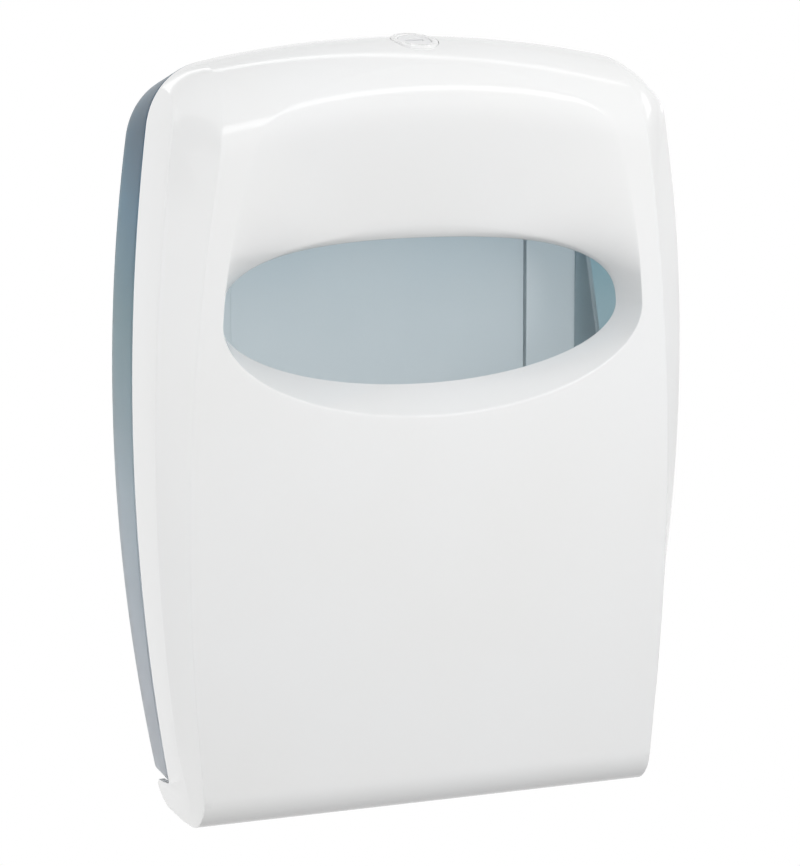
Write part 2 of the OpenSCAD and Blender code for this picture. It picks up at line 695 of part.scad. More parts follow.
// Pan-head screw up into the plug, with a cross recess
screw_head_d = 1.9 * cam_screw_d;
screw_head_h = 0.6 * cam_screw_d;
cross_w = 0.2 * cam_screw_d;
module cam_screw() color(steel) on_wall() at_lock() {
    head_z = cam_z - cam_washer_h;
    difference() {
        union() {
            disc(head_z - screw_head_h, head_z, screw_head_d);
            disc(head_z - screw_head_h / 2, cam_z + thread_l, cam_screw_d);
        }
        for (a = [0, 90]) rotate([0, 0, a])
            translate([-cam_screw_d / 2, -cross_w / 2, head_z - screw_head_h - sink])
                cube([cam_screw_d, cross_w, 2 * sink]);
    }
}

back_tray();
front_cover();
hinge_pin_left();
hinge_pin_right();
lock_body();
lock_washer();
lock_nut();
lock_plug();
lock_cam();
cam_washer();
cam_screw();
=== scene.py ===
# %% [markdown]
# A wall dispenser for folded paper seat covers: a glossy white front cover with an oval opening, hung
# on two pins over a smoky see-through tray that is screwed to the wall.
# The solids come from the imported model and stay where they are. This lesson dresses them: it models
# the two big mouldings again with soft edges and smooth curves, gives every piece a plastic or steel
# finish, and sets up the studio and the camera.

# %% Load the frame
import math

import bmesh
import bpy
import numpy as np
from mathutils import Matrix, Vector


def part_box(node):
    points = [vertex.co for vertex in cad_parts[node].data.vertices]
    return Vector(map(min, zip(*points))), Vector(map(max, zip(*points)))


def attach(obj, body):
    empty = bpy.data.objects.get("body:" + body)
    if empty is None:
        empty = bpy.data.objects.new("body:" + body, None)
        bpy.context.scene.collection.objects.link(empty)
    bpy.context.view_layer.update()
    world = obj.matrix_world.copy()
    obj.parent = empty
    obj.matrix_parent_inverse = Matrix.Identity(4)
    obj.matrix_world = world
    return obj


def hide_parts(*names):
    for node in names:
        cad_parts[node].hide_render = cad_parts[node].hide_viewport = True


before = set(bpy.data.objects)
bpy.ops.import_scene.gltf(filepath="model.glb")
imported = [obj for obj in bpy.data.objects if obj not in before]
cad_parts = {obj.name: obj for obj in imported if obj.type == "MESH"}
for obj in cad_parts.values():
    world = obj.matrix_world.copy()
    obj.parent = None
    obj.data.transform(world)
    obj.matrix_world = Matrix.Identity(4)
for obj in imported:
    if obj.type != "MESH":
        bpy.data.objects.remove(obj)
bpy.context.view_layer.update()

MM = 0.001
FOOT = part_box("front_cover")[0].z

# %% [markdown]
# The photograph looks from the left and a little from above, with a long lens, so upright lines stay
# upright. The camera's place and aim were worked out from the dispenser's known edges. A long lens is
# written as a real focal length on a 36 mm sensor, because that is how a photographer would set it.

# %% Camera
CAMERA_PLACE = Vector((-0.5656, -1.2645, 0.1985))
CAMERA_TURN = 24.49
CAMERA_DIP = 8.50
LENS = 145.7

lens = bpy.data.cameras.new("photo_lens")
lens.lens = LENS
lens.sensor_width = 36.0
lens.clip_start = 0.05
lens.clip_end = 60.0
camera = bpy.data.objects.new("photo_camera", lens)
bpy.context.scene.collection.objects.link(camera)
turn, dip = math.radians(CAMERA_TURN), math.radians(CAMERA_DIP)
aim = Vector((math.sin(turn) * math.cos(dip), math.cos(turn) * math.cos(dip), -math.sin(dip)))
camera.location = CAMERA_PLACE
camera.rotation_euler = aim.to_track_quat("-Z", "Y").to_euler()
bpy.context.scene.camera = camera
print("camera aims along", [round(c, 4) for c in aim])

# %% [markdown]
# Shader sums are easier to read as sums. This small class wraps one socket of a node tree, and its
# operators add the Math nodes that a hand would wire up. Every other node comes from one method of
# the finish, which takes the node's type, its settings and what goes into its sockets.

# %% Shader helpers
class Wire:
    """One socket of a finish, to be used in Python sums."""

    def __init__(self, finish, socket):
        self.finish = finish
        self.socket = socket

    def sum(self, operation, *terms):
        return self.finish.node("ShaderNodeMath", {"operation": operation}, dict(enumerate(terms)))[0]

    def __add__(self, other):
        return self.sum("ADD", self, other)

    def __sub__(self, other):
        return self.sum("SUBTRACT", self, other)

    def __rsub__(self, other):
        return self.sum("SUBTRACT", other, self)

    def __mul__(self, other):
        return self.sum("MULTIPLY", self, other)

    def __truediv__(self, other):
        return self.sum("DIVIDE", self, other)

    def __pow__(self, other):
        return self.sum("POWER", self, other)

    __radd__ = __add__
    __rmul__ = __mul__

    def clamp(self):
        return self.finish.node("ShaderNodeClamp", {}, {"Value": self})[0]


class Finish:
    """A material whose nodes are added one line at a time."""

    def __init__(self, name):
        self.material = bpy.data.materials.new(name)
        self.material.use_nodes = True
        self.tree = self.material.node_tree
        self.shader = self.tree.nodes["Principled BSDF"]

    def node(self, kind, settings, inputs):
        made = self.tree.nodes.new(kind)
        for name, value in settings.items():
            setattr(made, name, value)
        self.feed(made, inputs)
        return [Wire(self, socket) for socket in made.outputs]

    def feed(self, node, inputs):
        for name, value in inputs.items():
            if isinstance(value, Wire):
                self.tree.links.new(value.socket, node.inputs[name])
            else:
                node.inputs[name].default_value = value

    def surface(self, **inputs):
        self.feed(self.shader, {name.replace("_", " "): value for name, value in inputs.items()})

    def place(self):
        return self.node("ShaderNodeTexCoord", {}, {})[3]

    def height(self):
        return self.node("ShaderNodeSeparateXYZ", {}, {0: self.place()})

    def noise(self, size_mm, detail=2.0):
        scale = 1 / (size_mm * MM)
        return self.node("ShaderNodeTexNoise", {}, {"Vector": self.place(), "Scale": scale, "Detail": detail})[0]

    def blend(self, share, first, second):
        mixed = self.node("ShaderNodeMix", {"data_type": "RGBA"}, {0: share, 6: first, 7: second})
        return mixed[2]

    def ramp(self, share, stops):
        """Colours along a share from 0 to 1: (place, colour) pairs in rising order."""
        shade = self.node("ShaderNodeValToRGB", {}, {0: share})[0]
        elements = shade.socket.node.color_ramp.elements
        elements[0].color = paint(stops[0][1])
        elements[1].color = paint(stops[-1][1])
        for position, colour in stops[1:-1]:
            elements.new(position).color = paint(colour)
        return shade

    def bump(self, height, depth_mm, strength=1.0):
        return self.node("ShaderNodeBump", {}, {"Height": height, "Distance": depth_mm * MM, "Strength": strength})[0]


def paint(rgb):
    """A colour as it looks on screen, turned into the linear numbers that a shader takes."""
    return tuple((c / 255 / 12.92 if c < 11 else ((c / 255 + 0.055) / 1.055) ** 2.4) for c in rgb) + (1.0,)


def dress(piece, finish):
    piece.data.materials.clear()
    piece.data.materials.append(finish.material)


# %% [markdown]
# The cover is moulded in bright white glossy plastic. Real moulded plastic is never one flat colour:
# it has a faint skin like orange peel, broad patches that are a little warmer or cooler, and a gloss
# that varies where it has been wiped. Noise at three sizes gives those, each far too weak to see alone.

# %% White plastic of the cover
white = Finish("glossy_white_plastic")
patches = white.noise(70)
wiped = white.noise(22, 4.0)
skin_grain = white.noise(0.9)
white.surface(
    Base_Color=white.blend(patches, paint((234, 234, 233)), paint((237, 238, 239))),
    Roughness=0.07 + 0.08 * wiped,
    Normal=white.bump(skin_grain, 0.02, 0.05),
)
print("white plastic:", len(white.tree.nodes), "nodes")

# %% [markdown]
# The tray is smoky blue-grey plastic that lets some light through. Its upper part is painted deeper, as painted
# shade where little light reaches it from behind, and its foot is painted pale. So the colour runs up the height
# of the tray, the plastic's own tint mixed with painted shade, with cloudy streaks as in a real moulding, and the
# gloss is a little duller than the cover's.

# %% Smoky plastic of the tray, with painted shade
smoke = Finish("smoky_plastic_with_painted_shade")
place_x, place_y, place_z = smoke.height()
rise = ((place_z + 0.14) / 0.28).clamp()
cloud = smoke.noise(45, 3.0)
speckle = smoke.noise(0.5)
climb = (rise + 0.12 * (cloud - 0.5) + 0.06 * (speckle - 0.5)).clamp()
# Painted shade over the tray's own tint: both ramps run from a pale foot to a deep top.
back_tint_and_painted_shade = smoke.ramp(climb, [
    (0.0, (222, 227, 231)), (0.40, (204, 213, 217)), (0.67, (182, 195, 201)), (1.0, (149, 177, 191)),
])
side_tint_and_painted_shade = smoke.ramp(climb, [
    (0.0, (190, 197, 205)), (0.12, (202, 209, 217)), (0.40, (196, 209, 217)), (0.67, (145, 175, 184)),
    (0.80, (108, 156, 178)), (1.0, (25, 88, 118)),
])
# Painted shade: the side walls and guides, seen edge-on and turned from the light, get the darker, more teal ramp.
side_wall_painted_shade_mask = ((place_x.sum("ABSOLUTE", place_x) - 0.086) / 0.006).clamp()
smoke.surface(
    Base_Color=smoke.blend(side_wall_painted_shade_mask, back_tint_and_painted_shade, side_tint_and_painted_shade),
    Transmission_Weight=0.9,
    IOR=1.49,
    Roughness=0.28 + 0.10 * smoke.noise(18),
    Normal=smoke.bump(smoke.noise(1.2), 0.02, 0.3),
)

# %% [markdown]
# The lock is a small white ring with a white turning face, and behind the cover it has a zinc-plated
# nut, cam and screw. Plated steel is metal with a slightly uneven gloss and tone, given by noise.

# %% Lock plastic and plated steel
lock_white = Finish("lock_ring_plastic")
lock_white.surface(
    Base_Color=lock_white.blend(lock_white.noise(6), paint((234, 234, 234)), paint((238, 238, 238))),
    Roughness=0.22 + 0.1 * lock_white.noise(3),
)
plug_grey = Finish("lock_face_plastic")
plug_grey.surface(
    Base_Color=plug_grey.blend(plug_grey.noise(5), paint((230, 231, 232)), paint((235, 235, 236))),
    Roughness=0.28 + 0.1 * plug_grey.noise(2),
)
steel = Finish("zinc_plated_steel")
steel.surface(
    Base_Color=steel.blend(steel.noise(4, 3.0), paint((188, 190, 192)), paint((208, 209, 208))),
    Roughness=0.26 + 0.16 * steel.noise(1.5, 3.0),
    Metallic=1.0,
)

# %% [markdown]
# Both mouldings follow one outline: barrel-shaped sides, an arched top, and corners that turn from one
# to the other. The outline is a few arcs, written here as short functions in millimetres above the
# cover's lower edge, so that the tray and the cover meet along the same line all round.

# %% Shared outline
HEIGHT = 300.0
HALF_W = 111.75
BELLY_Z, SIDE_ARC = 162.6, 830.0
TOP_ARC, TOP_EDGE_X, CORNER_DROP = 424.0, 83.0, 23.9
CORNER_Z = HEIGHT - TOP_EDGE_X**2 / (2 * TOP_ARC) - CORNER_DROP


def mix(a, b, t):
    return a + (b - a) * t


def ease(t):
    return t * t * (3 - 2 * t)


def share(t, a, b):
    return min(1.0, max(0.0, (t - a) / (b - a)))


def side_x(z):
    return HALF_W - (z - BELLY_Z) ** 2 / (2 * SIDE_ARC)


def top_z(x):
    return HEIGHT - x * x / (2 * TOP_ARC)


CORNER_ROUND = 0.86
TOP_SLOPE = -TOP_EDGE_X / TOP_ARC
SIDE_SLOPE = -(CORNER_Z - BELLY_Z) / SIDE_ARC


def corner_frame(inset):
    """The corner's start on the top, the point where the two tangents meet, and its end on the side."""
    start = np.array((TOP_EDGE_X - inset / 2, top_z(TOP_EDGE_X) - inset))
    end = np.array((side_x(CORNER_Z) - inset, CORNER_Z))
    x = (end[0] + SIDE_SLOPE * (start[1] - TOP_SLOPE * start[0] - end[1])) / (1 - SIDE_SLOPE * TOP_SLOPE)
    return start, np.array((x, start[1] + TOP_SLOPE * (x - start[0]))), end


def corner_point(inset, t):
    """A point of the corner's conic arc, from the top at t = 0 to the side at t = 1."""
    weights = np.array(((1 - t) ** 2, 2 * CORNER_ROUND * t * (1 - t), t * t))
    return weights @ np.array(corner_frame(inset)) / weights.sum()


def on_corner(inset, axis, value):
    """The point of the corner's arc at which one coordinate has this value."""
    a, b, c = (point[axis] - value for point in corner_frame(inset))
    b *= CORNER_ROUND
    bend = math.sqrt(max(0, b * b - a * c))
    return corner_point(inset, min(1, max(0, a / (a - b + math.copysign(bend, a - c)))))


def outline_x(z, inset=0.0):
    """Half width of the outline at a height, moved inwards."""
    if z < CORNER_Z:
        return side_x(z) - inset
    return on_corner(inset, 1, z)[0]


def outline_z(x, inset=0.0):
    """Height of the outline at a distance from the middle, moved inwards."""
    if abs(x) < TOP_EDGE_X - inset / 2:
        return top_z(x) - inset
    return on_corner(inset, 0, abs(x))[1]


def mirrored(half):
    """A closed ring from its right half, which runs from the middle of the foot to that of the top."""
    half = np.array(half, float)
    return np.concatenate((half, half[-2:0:-1] * (-1, 1, 1)))


print("outline: corner starts at", round(CORNER_Z, 1), "mm")

# %% [markdown]
# A big moulding like this is easiest to skin ring by ring: start from a mesh circle, put its points on
# the first ring, then extrude its edges again and again, each time onto the next ring. Where two
# surfaces meet in an edge, the ring there is replaced by a few rings on a small curve, which gives the
# soft edge of a real moulding.

# %% Skinning tools
HAIR = 0.008


def deselect():
    if bpy.context.object and bpy.context.object.mode == "EDIT":
        bpy.ops.object.mode_set(mode="OBJECT")
    bpy.ops.object.select_all(action="DESELECT")


def soften(rings, places, steps=4):
    """Rounds the rings at the given places: {ring number: radius in mm}."""
    out = []
    for j, ring in enumerate(rings):
        radius = places.get(j)
        if radius is None:
            out.append(ring)
            continue
        ends = []
        for other in (rings[j - 1], rings[(j + 1) % len(rings)]):
            reach = np.maximum(np.linalg.norm(other - ring, axis=1), 1e-6)
            ends.append(ring + (other - ring) * np.minimum(0.45, radius / reach)[:, None])
        for i in range(steps + 1):
            t = i / steps
            out.append((1 - t) ** 2 * ends[0] + 2 * t * (1 - t) * ring + t * t * ends[1])
    return out


def in_place(ring):
    return ring * MM + np.array((0, 0, FOOT))


def set_ring(piece, ring):
    edit = bmesh.from_edit_mesh(piece.data)
    column = edit.verts.layers.int["column"]
    for vert in edit.verts:
        if vert.select:
            vert.co = ring[vert[column]]
    bmesh.update_edit_mesh(piece.data)


def skin(name, rings, closed=True):
    """Skins the rings, and joins the last to the first or fills both ends."""
    deselect()
    bpy.ops.mesh.primitive_circle_add(vertices=len(rings[0]), fill_type="NOTHING")
    piece = bpy.context.object
    piece.name = piece.data.name = name
    bpy.ops.object.mode_set(mode="EDIT")
    edit = bmesh.from_edit_mesh(piece.data)
    column = edit.verts.layers.int.new("column")
    edit.verts.ensure_lookup_table()
    for i, vert in enumerate(edit.verts):
        vert[column] = i
    set_ring(piece, rings[0])
    if not closed:
        bpy.ops.mesh.edge_face_add()
    for ring in rings[1:] + ([rings[0]] if closed else []):
        bpy.ops.mesh.extrude_edges_move()
        set_ring(piece, ring)
    if not closed:
        bpy.ops.mesh.edge_face_add()
    bpy.ops.mesh.select_all(action="SELECT")
    bpy.ops.mesh.remove_doubles(threshold=1e-7)
    bpy.ops.mesh.normals_make_consistent(inside=False)
    bpy.ops.object.mode_set(mode="OBJECT")
    return piece


def polish(piece, angle=32):
    deselect()
    piece.select_set(True)
    bpy.context.view_layer.objects.active = piece
    bpy.ops.object.shade_smooth_by_angle(angle=math.radians(angle))


def weld(piece):
    """Joins points closer than a hair and splits the many-sided faces, so that every seam stays closed."""
    deselect()
    piece.select_set(True)
    bpy.context.view_layer.objects.active = piece
    bpy.ops.object.mode_set(mode="EDIT")
    bpy.ops.mesh.select_mode(type="VERT")
    bpy.ops.mesh.select_all(action="SELECT")
    bpy.ops.mesh.remove_doubles(threshold=HAIR * MM)
    bpy.ops.mesh.select_mode(type="FACE")
    bpy.ops.mesh.select_all(action="DESELECT")
    bpy.ops.mesh.select_face_by_sides(number=4, type="GREATER")
    bpy.ops.mesh.quads_convert_to_tris(ngon_method="BEAUTY")
    bpy.ops.mesh.select_all(action="SELECT")
    bpy.ops.mesh.dissolve_degenerate(threshold=HAIR * MM / 4)
    bpy.ops.mesh.normals_make_consistent(inside=False)
    bpy.ops.object.mode_set(mode="OBJECT")


def finish_piece(piece, finish, body, node):
    """Shades and dresses a piece, and lets it take the place of its CAD solid."""
    weld(piece)
    polish(piece)
    dress(piece, finish)
    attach(piece, body)
    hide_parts(node)
    print(piece.name, "has", len(piece.data.polygons), "faces and rides on", body)


def combine(piece, tool, operation):
    """Adds or cuts with another mesh, which is used up."""
    deselect()
    bpy.context.view_layer.objects.active = piece
    step = piece.modifiers.new(operation, "BOOLEAN")
    step.operation = operation
    step.object = tool
    step.solver = "EXACT"
    bpy.ops.object.modifier_apply(modifier=step.name)
    bpy.data.objects.remove(tool)


# %% [markdown]
# The front cover swells gently: its front face is widest below the middle and leans forward towards the
# top, where it rolls over into the top. A crisp edge runs up each side of the front face and fades into
# the roll; outside it a bevel leads back to a flat side face. The oval opening sits in a scooped recess
# that cuts into the roll. One grid can carry all of it if each column starts on the opening's rim and
# runs out over the recess, the face, the bevel and the side to the parting line, then back inside.

# %% Cover profile
WALL = 2.5
DEPTH_FOOT, DEPTH_TOP, FRONT_CURVE = 54.5, 61.5, 1.4
FRONT_HALF_W, FRONT_BELLY_Z, FRONT_ARC = 101.5, 114.0, 891.0
TOP_ROLL, FOOT_ROLL = 32.0, 14.0
SIDE_DEPTH, SIDE_DEPTH_FOOT, FLANK_TOP_Z, FLANK_CURVE = 49.8, 38.0, 230.0, 1.3
SEAM_DEPTH, EDGE_LAND = 22.6, 1.5
BAND_TOP_X, BAND_END = 84.5, math.radians(80)
FOOT_FLANK_Z, FLANK_FRONT_Z = 34.0, 238.0
BEVEL_SHARE, SIDE_EDGE_SHARE, BEVEL_LAST = 0.6, 0.4, 0.75
OVAL_Z, OVAL_HALF_W, OVAL_UP, OVAL_DOWN = 195.0, 84.0, 27.7, 28.0
RECESS_HALF_W, RECESS_UP, RECESS_DOWN = 88.4, 95.2, 39.0
LIP_DEPTH, SCOOP_DEPTH = 14.0, 18.0


def front_x(z):
    return FRONT_HALF_W - (z - FRONT_BELLY_Z) ** 2 / (2 * FRONT_ARC)


def front_depth(z):
    return DEPTH_FOOT + (DEPTH_TOP - DEPTH_FOOT) * (max(z, 0) / HEIGHT) ** FRONT_CURVE


def side_face(z):
    drop = max(0, FLANK_TOP_Z - z) / FLANK_TOP_Z
    return SIDE_DEPTH - (SIDE_DEPTH - SIDE_DEPTH_FOOT) * drop**FLANK_CURVE


FOOT_Y = front_depth(FOOT_ROLL) - FOOT_ROLL


def roll_z(x):
    return top_z(x) - TOP_ROLL


def roll_y(x):
    return front_depth(roll_z(x)) - TOP_ROLL


def face_y(x, z, inset):
    if z > roll_z(x):
        return -roll_y(x) - math.sqrt(max(0, (TOP_ROLL - inset) ** 2 - (z - roll_z(x)) ** 2))
    if z < FOOT_ROLL:
        return -FOOT_Y - math.sqrt(max(0, (FOOT_ROLL - inset) ** 2 - (FOOT_ROLL - z) ** 2))
    return -front_depth(z) + inset


ROLL_START = roll_z(front_x(HEIGHT - CORNER_DROP - TOP_ROLL / 2))
ROLL_START_X = front_x(ROLL_START)
BAND_UP = ROLL_START - FLANK_FRONT_Z
BAND_SHARE = BAND_UP / (BAND_UP + TOP_ROLL * BAND_END)
print("front edge meets the top roll at", round(ROLL_START_X, 1), round(ROLL_START, 1))

# %% [markdown]
# Columns are shared out along the ring: the foot, the flank below and above the opening's ends, the top
# corner, and half of the lower and upper edges. They lie closest where the opening's ends turn fast.

# %% Cover columns
FOOT_END, OVAL_T, CORNER_T = 10 / 43, 24 / 43, 31 / 43
LOW_EASE, HIGH_EASE = 1.6, 1.3
OVAL_SHARE = (OVAL_Z - FOOT_FLANK_Z) / (FLANK_FRONT_Z - FOOT_FLANK_Z)


def spread(a, b, count):
    return list(np.linspace(a, b, count, endpoint=False))


COVER_SIDE = (
    spread(0, FOOT_END, 40) + spread(FOOT_END, OVAL_T, 44) + spread(OVAL_T, CORNER_T, 26)
    + spread(CORNER_T, 1, 44) + [1.0]
)
COVER_LOWER = spread(0, 1, 28)
COVER_TOP = [1 - s**1.4 for s in np.linspace(0, 1, 57)[1:]]


def flank(t):
    if t < OVAL_T:
        return OVAL_SHARE * (1 - (1 - share(t, FOOT_END, OVAL_T)) ** LOW_EASE)
    return mix(OVAL_SHARE, 1, share(t, OVAL_T, CORNER_T) ** HIGH_EASE)


def front_z(t):
    if t < FOOT_END:
        return mix(FOOT_ROLL, FOOT_FLANK_Z, share(t, 0, FOOT_END))
    return mix(FOOT_FLANK_Z, FLANK_FRONT_Z, flank(t))


def cover_ring(lower, side, top):
    """A closed ring: half the lower edge, one side, half the top, then the same mirrored."""
    half = [lower(s) for s in COVER_LOWER] + [side(t) for t in COVER_SIDE] + [top(s) for s in COVER_TOP]
    return mirrored(half)


print("cover columns:", 2 * (len(COVER_LOWER) + len(COVER_SIDE) + len(COVER_TOP)) - 2)

# %% [markdown]
# These are the cover's main rings from front to back: the crisp edge of the front face, the rolled and
# bevelled strip outside it, the edge of the flat side, and the parting line. Each takes an inset, which
# is nought for the outside and the wall's thickness for the inside.

# %% Cover rings outside the front face
FOOT_FLAT_Y, FOOT_ROUND = 31.5, 11.5
TRAY_FOOT, RUNNING_GAP, HINGE_Y, FOOT_STEP = 12.6, 0.3, 11.2, 1.4
FOOT_BACK = np.array((-19.0, TRAY_FOOT - 0.1))
FOOT_BACK_R, FOOT_BACK_TURN = 10.8, 78.0
TIP_ANGLE = math.radians(36)
EDGE_LEAN_Z, EDGE_LEAN_X, EDGE_LEAN_Y = 120.0, 1.3, 2.8
CORNER_BULGE, BULGE_AIM = 1.5, np.array((0.55, -0.5, 0.67))


def roll_point(x, angle, inset):
    r = TOP_ROLL - inset
    return np.array((x, -roll_y(x) - r * math.cos(angle), roll_z(x) + r * math.sin(angle)))


def band_angle(t):
    """Angle of the top roll that the front edge has reached."""
    return BAND_END * share(share(t, CORNER_T, 1), BAND_SHARE, 1)


def front_side(t, inset):
    corner = share(t, CORNER_T, 1)
    if corner > BAND_SHARE:
        angle = band_angle(t)
        x = mix(ROLL_START_X, BAND_TOP_X, math.sin(angle)) - BEVEL_SHARE * inset
        return roll_point(x, angle, inset)
    z = front_z(t) if corner == 0 else mix(FLANK_FRONT_Z, ROLL_START, corner / BAND_SHARE)
    return np.array((front_x(z) - BEVEL_SHARE * inset, -front_depth(z) + inset, z))


def front_ring(inset):
    low_x = front_x(FOOT_ROLL) - BEVEL_SHARE * inset
    low_y = -front_depth(FOOT_ROLL) + inset
    top_x = front_side(1, inset)[0]
    return cover_ring(
        lambda s: (s * low_x, low_y, FOOT_ROLL),
        lambda t: front_side(t, inset),
        lambda s: roll_point(s * top_x, BAND_END, inset),
    )


def tip_z(inset):
    return CORNER_Z + (CORNER_DROP - inset) * math.sin(TIP_ANGLE)


def corner_rise(t, inset):
    """Turn of the side face's rounded top, and the height that it has reached."""
    turn = math.pi / 2 * share(t, CORNER_T, 1)
    return turn, CORNER_Z + (tip_z(inset) - CORNER_Z) * math.sin(turn)


def side_edge(t, inset):
    lean = 0.0
    if t < FOOT_END / 2:
        a = math.pi * t / FOOT_END
        r = FOOT_ROUND - inset
        y, z = -FOOT_FLAT_Y - r * math.sin(a), FOOT_ROUND - r * math.cos(a)
    elif t < FOOT_END:
        u = 2 * t / FOOT_END - 1
        y_flank = -side_face(FOOT_FLANK_Z) + SIDE_EDGE_SHARE * inset
        y = mix(-FOOT_FLAT_Y - FOOT_ROUND + inset, y_flank, ease(u))
        z = mix(FOOT_ROUND, FOOT_FLANK_Z, u)
    elif t < CORNER_T:
        z = mix(FOOT_FLANK_Z, CORNER_Z, flank(t))
        lean = share(z, EDGE_LEAN_Z, CORNER_Z) ** 2
        y = -side_face(z) + SIDE_EDGE_SHARE * inset + EDGE_LEAN_Y * lean
    else:
        turn, z = corner_rise(t, inset)
        lean = math.cos(turn)
        front = side_face(CORNER_Z) - SIDE_EDGE_SHARE * inset - EDGE_LEAN_Y
        y = -mix(SEAM_DEPTH + EDGE_LAND, front, lean)
    return np.array((outline_x(z, inset) - EDGE_LEAN_X * lean, y, z))


def edge_ring(inset):
    top_x = outline_x(tip_z(inset), inset)
    return cover_ring(
        lambda s: (s * (side_x(0) - inset), -FOOT_FLAT_Y, inset),
        lambda t: side_edge(t, inset),
        lambda s: (s * top_x, -SEAM_DEPTH - EDGE_LAND, outline_z(s * top_x, inset)),
    )


# Where the foot's roll ends, as a share of the way from the side edge to the front edge
FOOT_SHARE = (FOOT_Y - FOOT_FLAT_Y) / (front_depth(FOOT_ROLL) - FOOT_FLAT_Y)


def foot_rolled(a, b, k):
    """A point on the way from a to b that rolls under as the foot does."""
    angle = math.pi / 2 * min(1, k / BEVEL_LAST)
    y = mix(mix(b[1], a[1], FOOT_SHARE), a[1], math.cos(angle))
    point = np.array((mix(a[0], b[0], k), y, mix(a[2], b[2], math.sin(angle))))
    return mix(point, b, share(k, BEVEL_LAST, 1))


def crown(x, y, inset):
    """Height of the rolled top at a place of the outline."""
    r = TOP_ROLL - inset
    return outline_z(x, inset) - r + math.sqrt(max(0, r * r - max(0, -y - roll_y(x)) ** 2))


def bevel_side(t, k, inset):
    a, b = front_side(t, inset), side_edge(t, inset)
    flat = mix(a, b, k)
    corner = share(t, CORNER_T, 1)
    if corner > 0:
        end = mix(front_side(1, inset), side_edge(1, inset), k)
        swell = ease(corner) * (crown(end[0], end[1], inset) - end[2])
        lift = math.pi / 2 * band_angle(t) / BAND_END
        bulge = CORNER_BULGE * 4 * k * (1 - k) * math.sin(math.pi * corner) ** 2
        return flat + swell * np.array((0, -math.cos(lift), math.sin(lift))) + bulge * BULGE_AIM
    return mix(flat, foot_rolled(a, b, k), ease(1 - share(t, 0, FOOT_END)))


def bevel_top(s, k, inset):
    x = s * mix(front_side(1, inset)[0], side_edge(1, inset)[0], k)
    front = roll_point(s * front_side(1, inset)[0], BAND_END, inset)
    y = mix(front[1], -SEAM_DEPTH - EDGE_LAND, k)
    return np.array((x, y, crown(x, y, inset)))


def bevel_ring(k, inset):
    foot = foot_rolled(front_side(0, inset), side_edge(0, inset), k)
    return cover_ring(
        lambda s: foot * (s, 1, 1),
        lambda t: bevel_side(t, k, inset),
        lambda s: bevel_top(s, k, inset),
    )


# The parting line runs back round the foot: a round back, a flat under the tray, then up the flank
FOOT_ARC = [
    FOOT_BACK + FOOT_BACK_R * np.array((math.cos(a), math.sin(a)))
    for a in np.radians(np.linspace(-90, FOOT_BACK_TURN - 90, 17))
]
FOOT_LINE = FOOT_ARC + [
    np.array(p)
    for p in (
        (-HINGE_Y + 0.6, TRAY_FOOT - RUNNING_GAP),
        (-SEAM_DEPTH + FOOT_STEP, TRAY_FOOT - RUNNING_GAP),
        (-SEAM_DEPTH, TRAY_FOOT + FOOT_STEP),
        (-SEAM_DEPTH, FOOT_FLANK_Z),
    )
]
FOOT_STOPS = list(np.linspace(0, 0.4, 17)) + [0.5, 0.7, 0.8, 1.0]


def seam_side(t, inset):
    if t < FOOT_END:
        q = t / FOOT_END
        y = np.interp(q, FOOT_STOPS, [p[0] for p in FOOT_LINE])
        z = np.interp(q, FOOT_STOPS, [p[1] for p in FOOT_LINE])
        return np.array((side_x(z) - inset, y, z + inset * max(0, 1 - 10 * q)))
    if t < CORNER_T:
        z = mix(FOOT_FLANK_Z, CORNER_Z, flank(t))
        return np.array((side_x(z) - inset, -SEAM_DEPTH, z))
    z = corner_rise(t, inset)[1]
    return np.array((outline_x(z, inset), -SEAM_DEPTH, z))


def seam_ring(inset):
    top_x = outline_x(tip_z(inset), inset)
    y, z = FOOT_LINE[0]
    return cover_ring(
        lambda s: (s * (side_x(z) - inset), y, z + inset),
        lambda t: seam_side(t, inset),
        lambda s: (s * top_x, -SEAM_DEPTH, outline_z(s * top_x, inset)),
    )


# %% [markdown]
# Inside the crisp edge lie the front face, the recess and the opening. A ray from the opening's centre
# through each point of the edge meets the recess and the opening in two ovals, so every column has its
# own place on both, and the scoop deepens from the one to the other. Along its upper edge the wall curls
# inward, as a real moulding does where hands reach past it.

# %% Cover rings of the face, the recess and the opening
OVAL_POWER, LOWER_POWER, CORNER_POWER = 2.65, 2.0, 30.0
SIDE_LEAN, SIDE_BOW, TOP_BOW = 0.05, 0.00215, 0.0038
SIDE_GROW, LIP_GROW, SCOOP_EASE, INNER_DISH = 0.85, 0.45, 0.25, 0.4
RIM_CURL, RIM_CURL_FROM, RIM_CURL_RISE = 2.6, 0.9, 3.0


def on_ray(phi, r):
    return np.array((r * math.cos(phi), OVAL_Z + r * math.sin(phi)))


def oval(phi, a, up, down, up_power):
    n, b = (up_power, up) if phi > 0 else (LOWER_POWER, down)
    return on_ray(phi, ((abs(math.cos(phi)) / a) ** n + (abs(math.sin(phi)) / b) ** n) ** (-1 / n))


def bowed(along, across, reach, lean, bow):
    """Where a ray meets a gently bowed line that crosses its axis at this reach."""
    slope = along + lean * across
    return 2 * reach / (slope + math.sqrt(slope * slope + 4 * bow * across * across * reach))


RAYS = [math.atan2(p[2] - OVAL_Z, p[0]) for p in front_ring(0)]


def recess_at(phi, inset):
    half_w = RECESS_HALF_W + SIDE_GROW * inset
    if phi <= 0:
        return oval(phi, half_w, RECESS_UP, RECESS_DOWN + LIP_GROW * inset, LOWER_POWER)
    out, up = abs(math.cos(phi)), math.sin(phi)
    side, top = bowed(out, up, half_w, SIDE_LEAN, SIDE_BOW), bowed(up, out, RECESS_UP, 0, TOP_BOW)
    return on_ray(phi, (side**-CORNER_POWER + top**-CORNER_POWER) ** (-1 / CORNER_POWER))


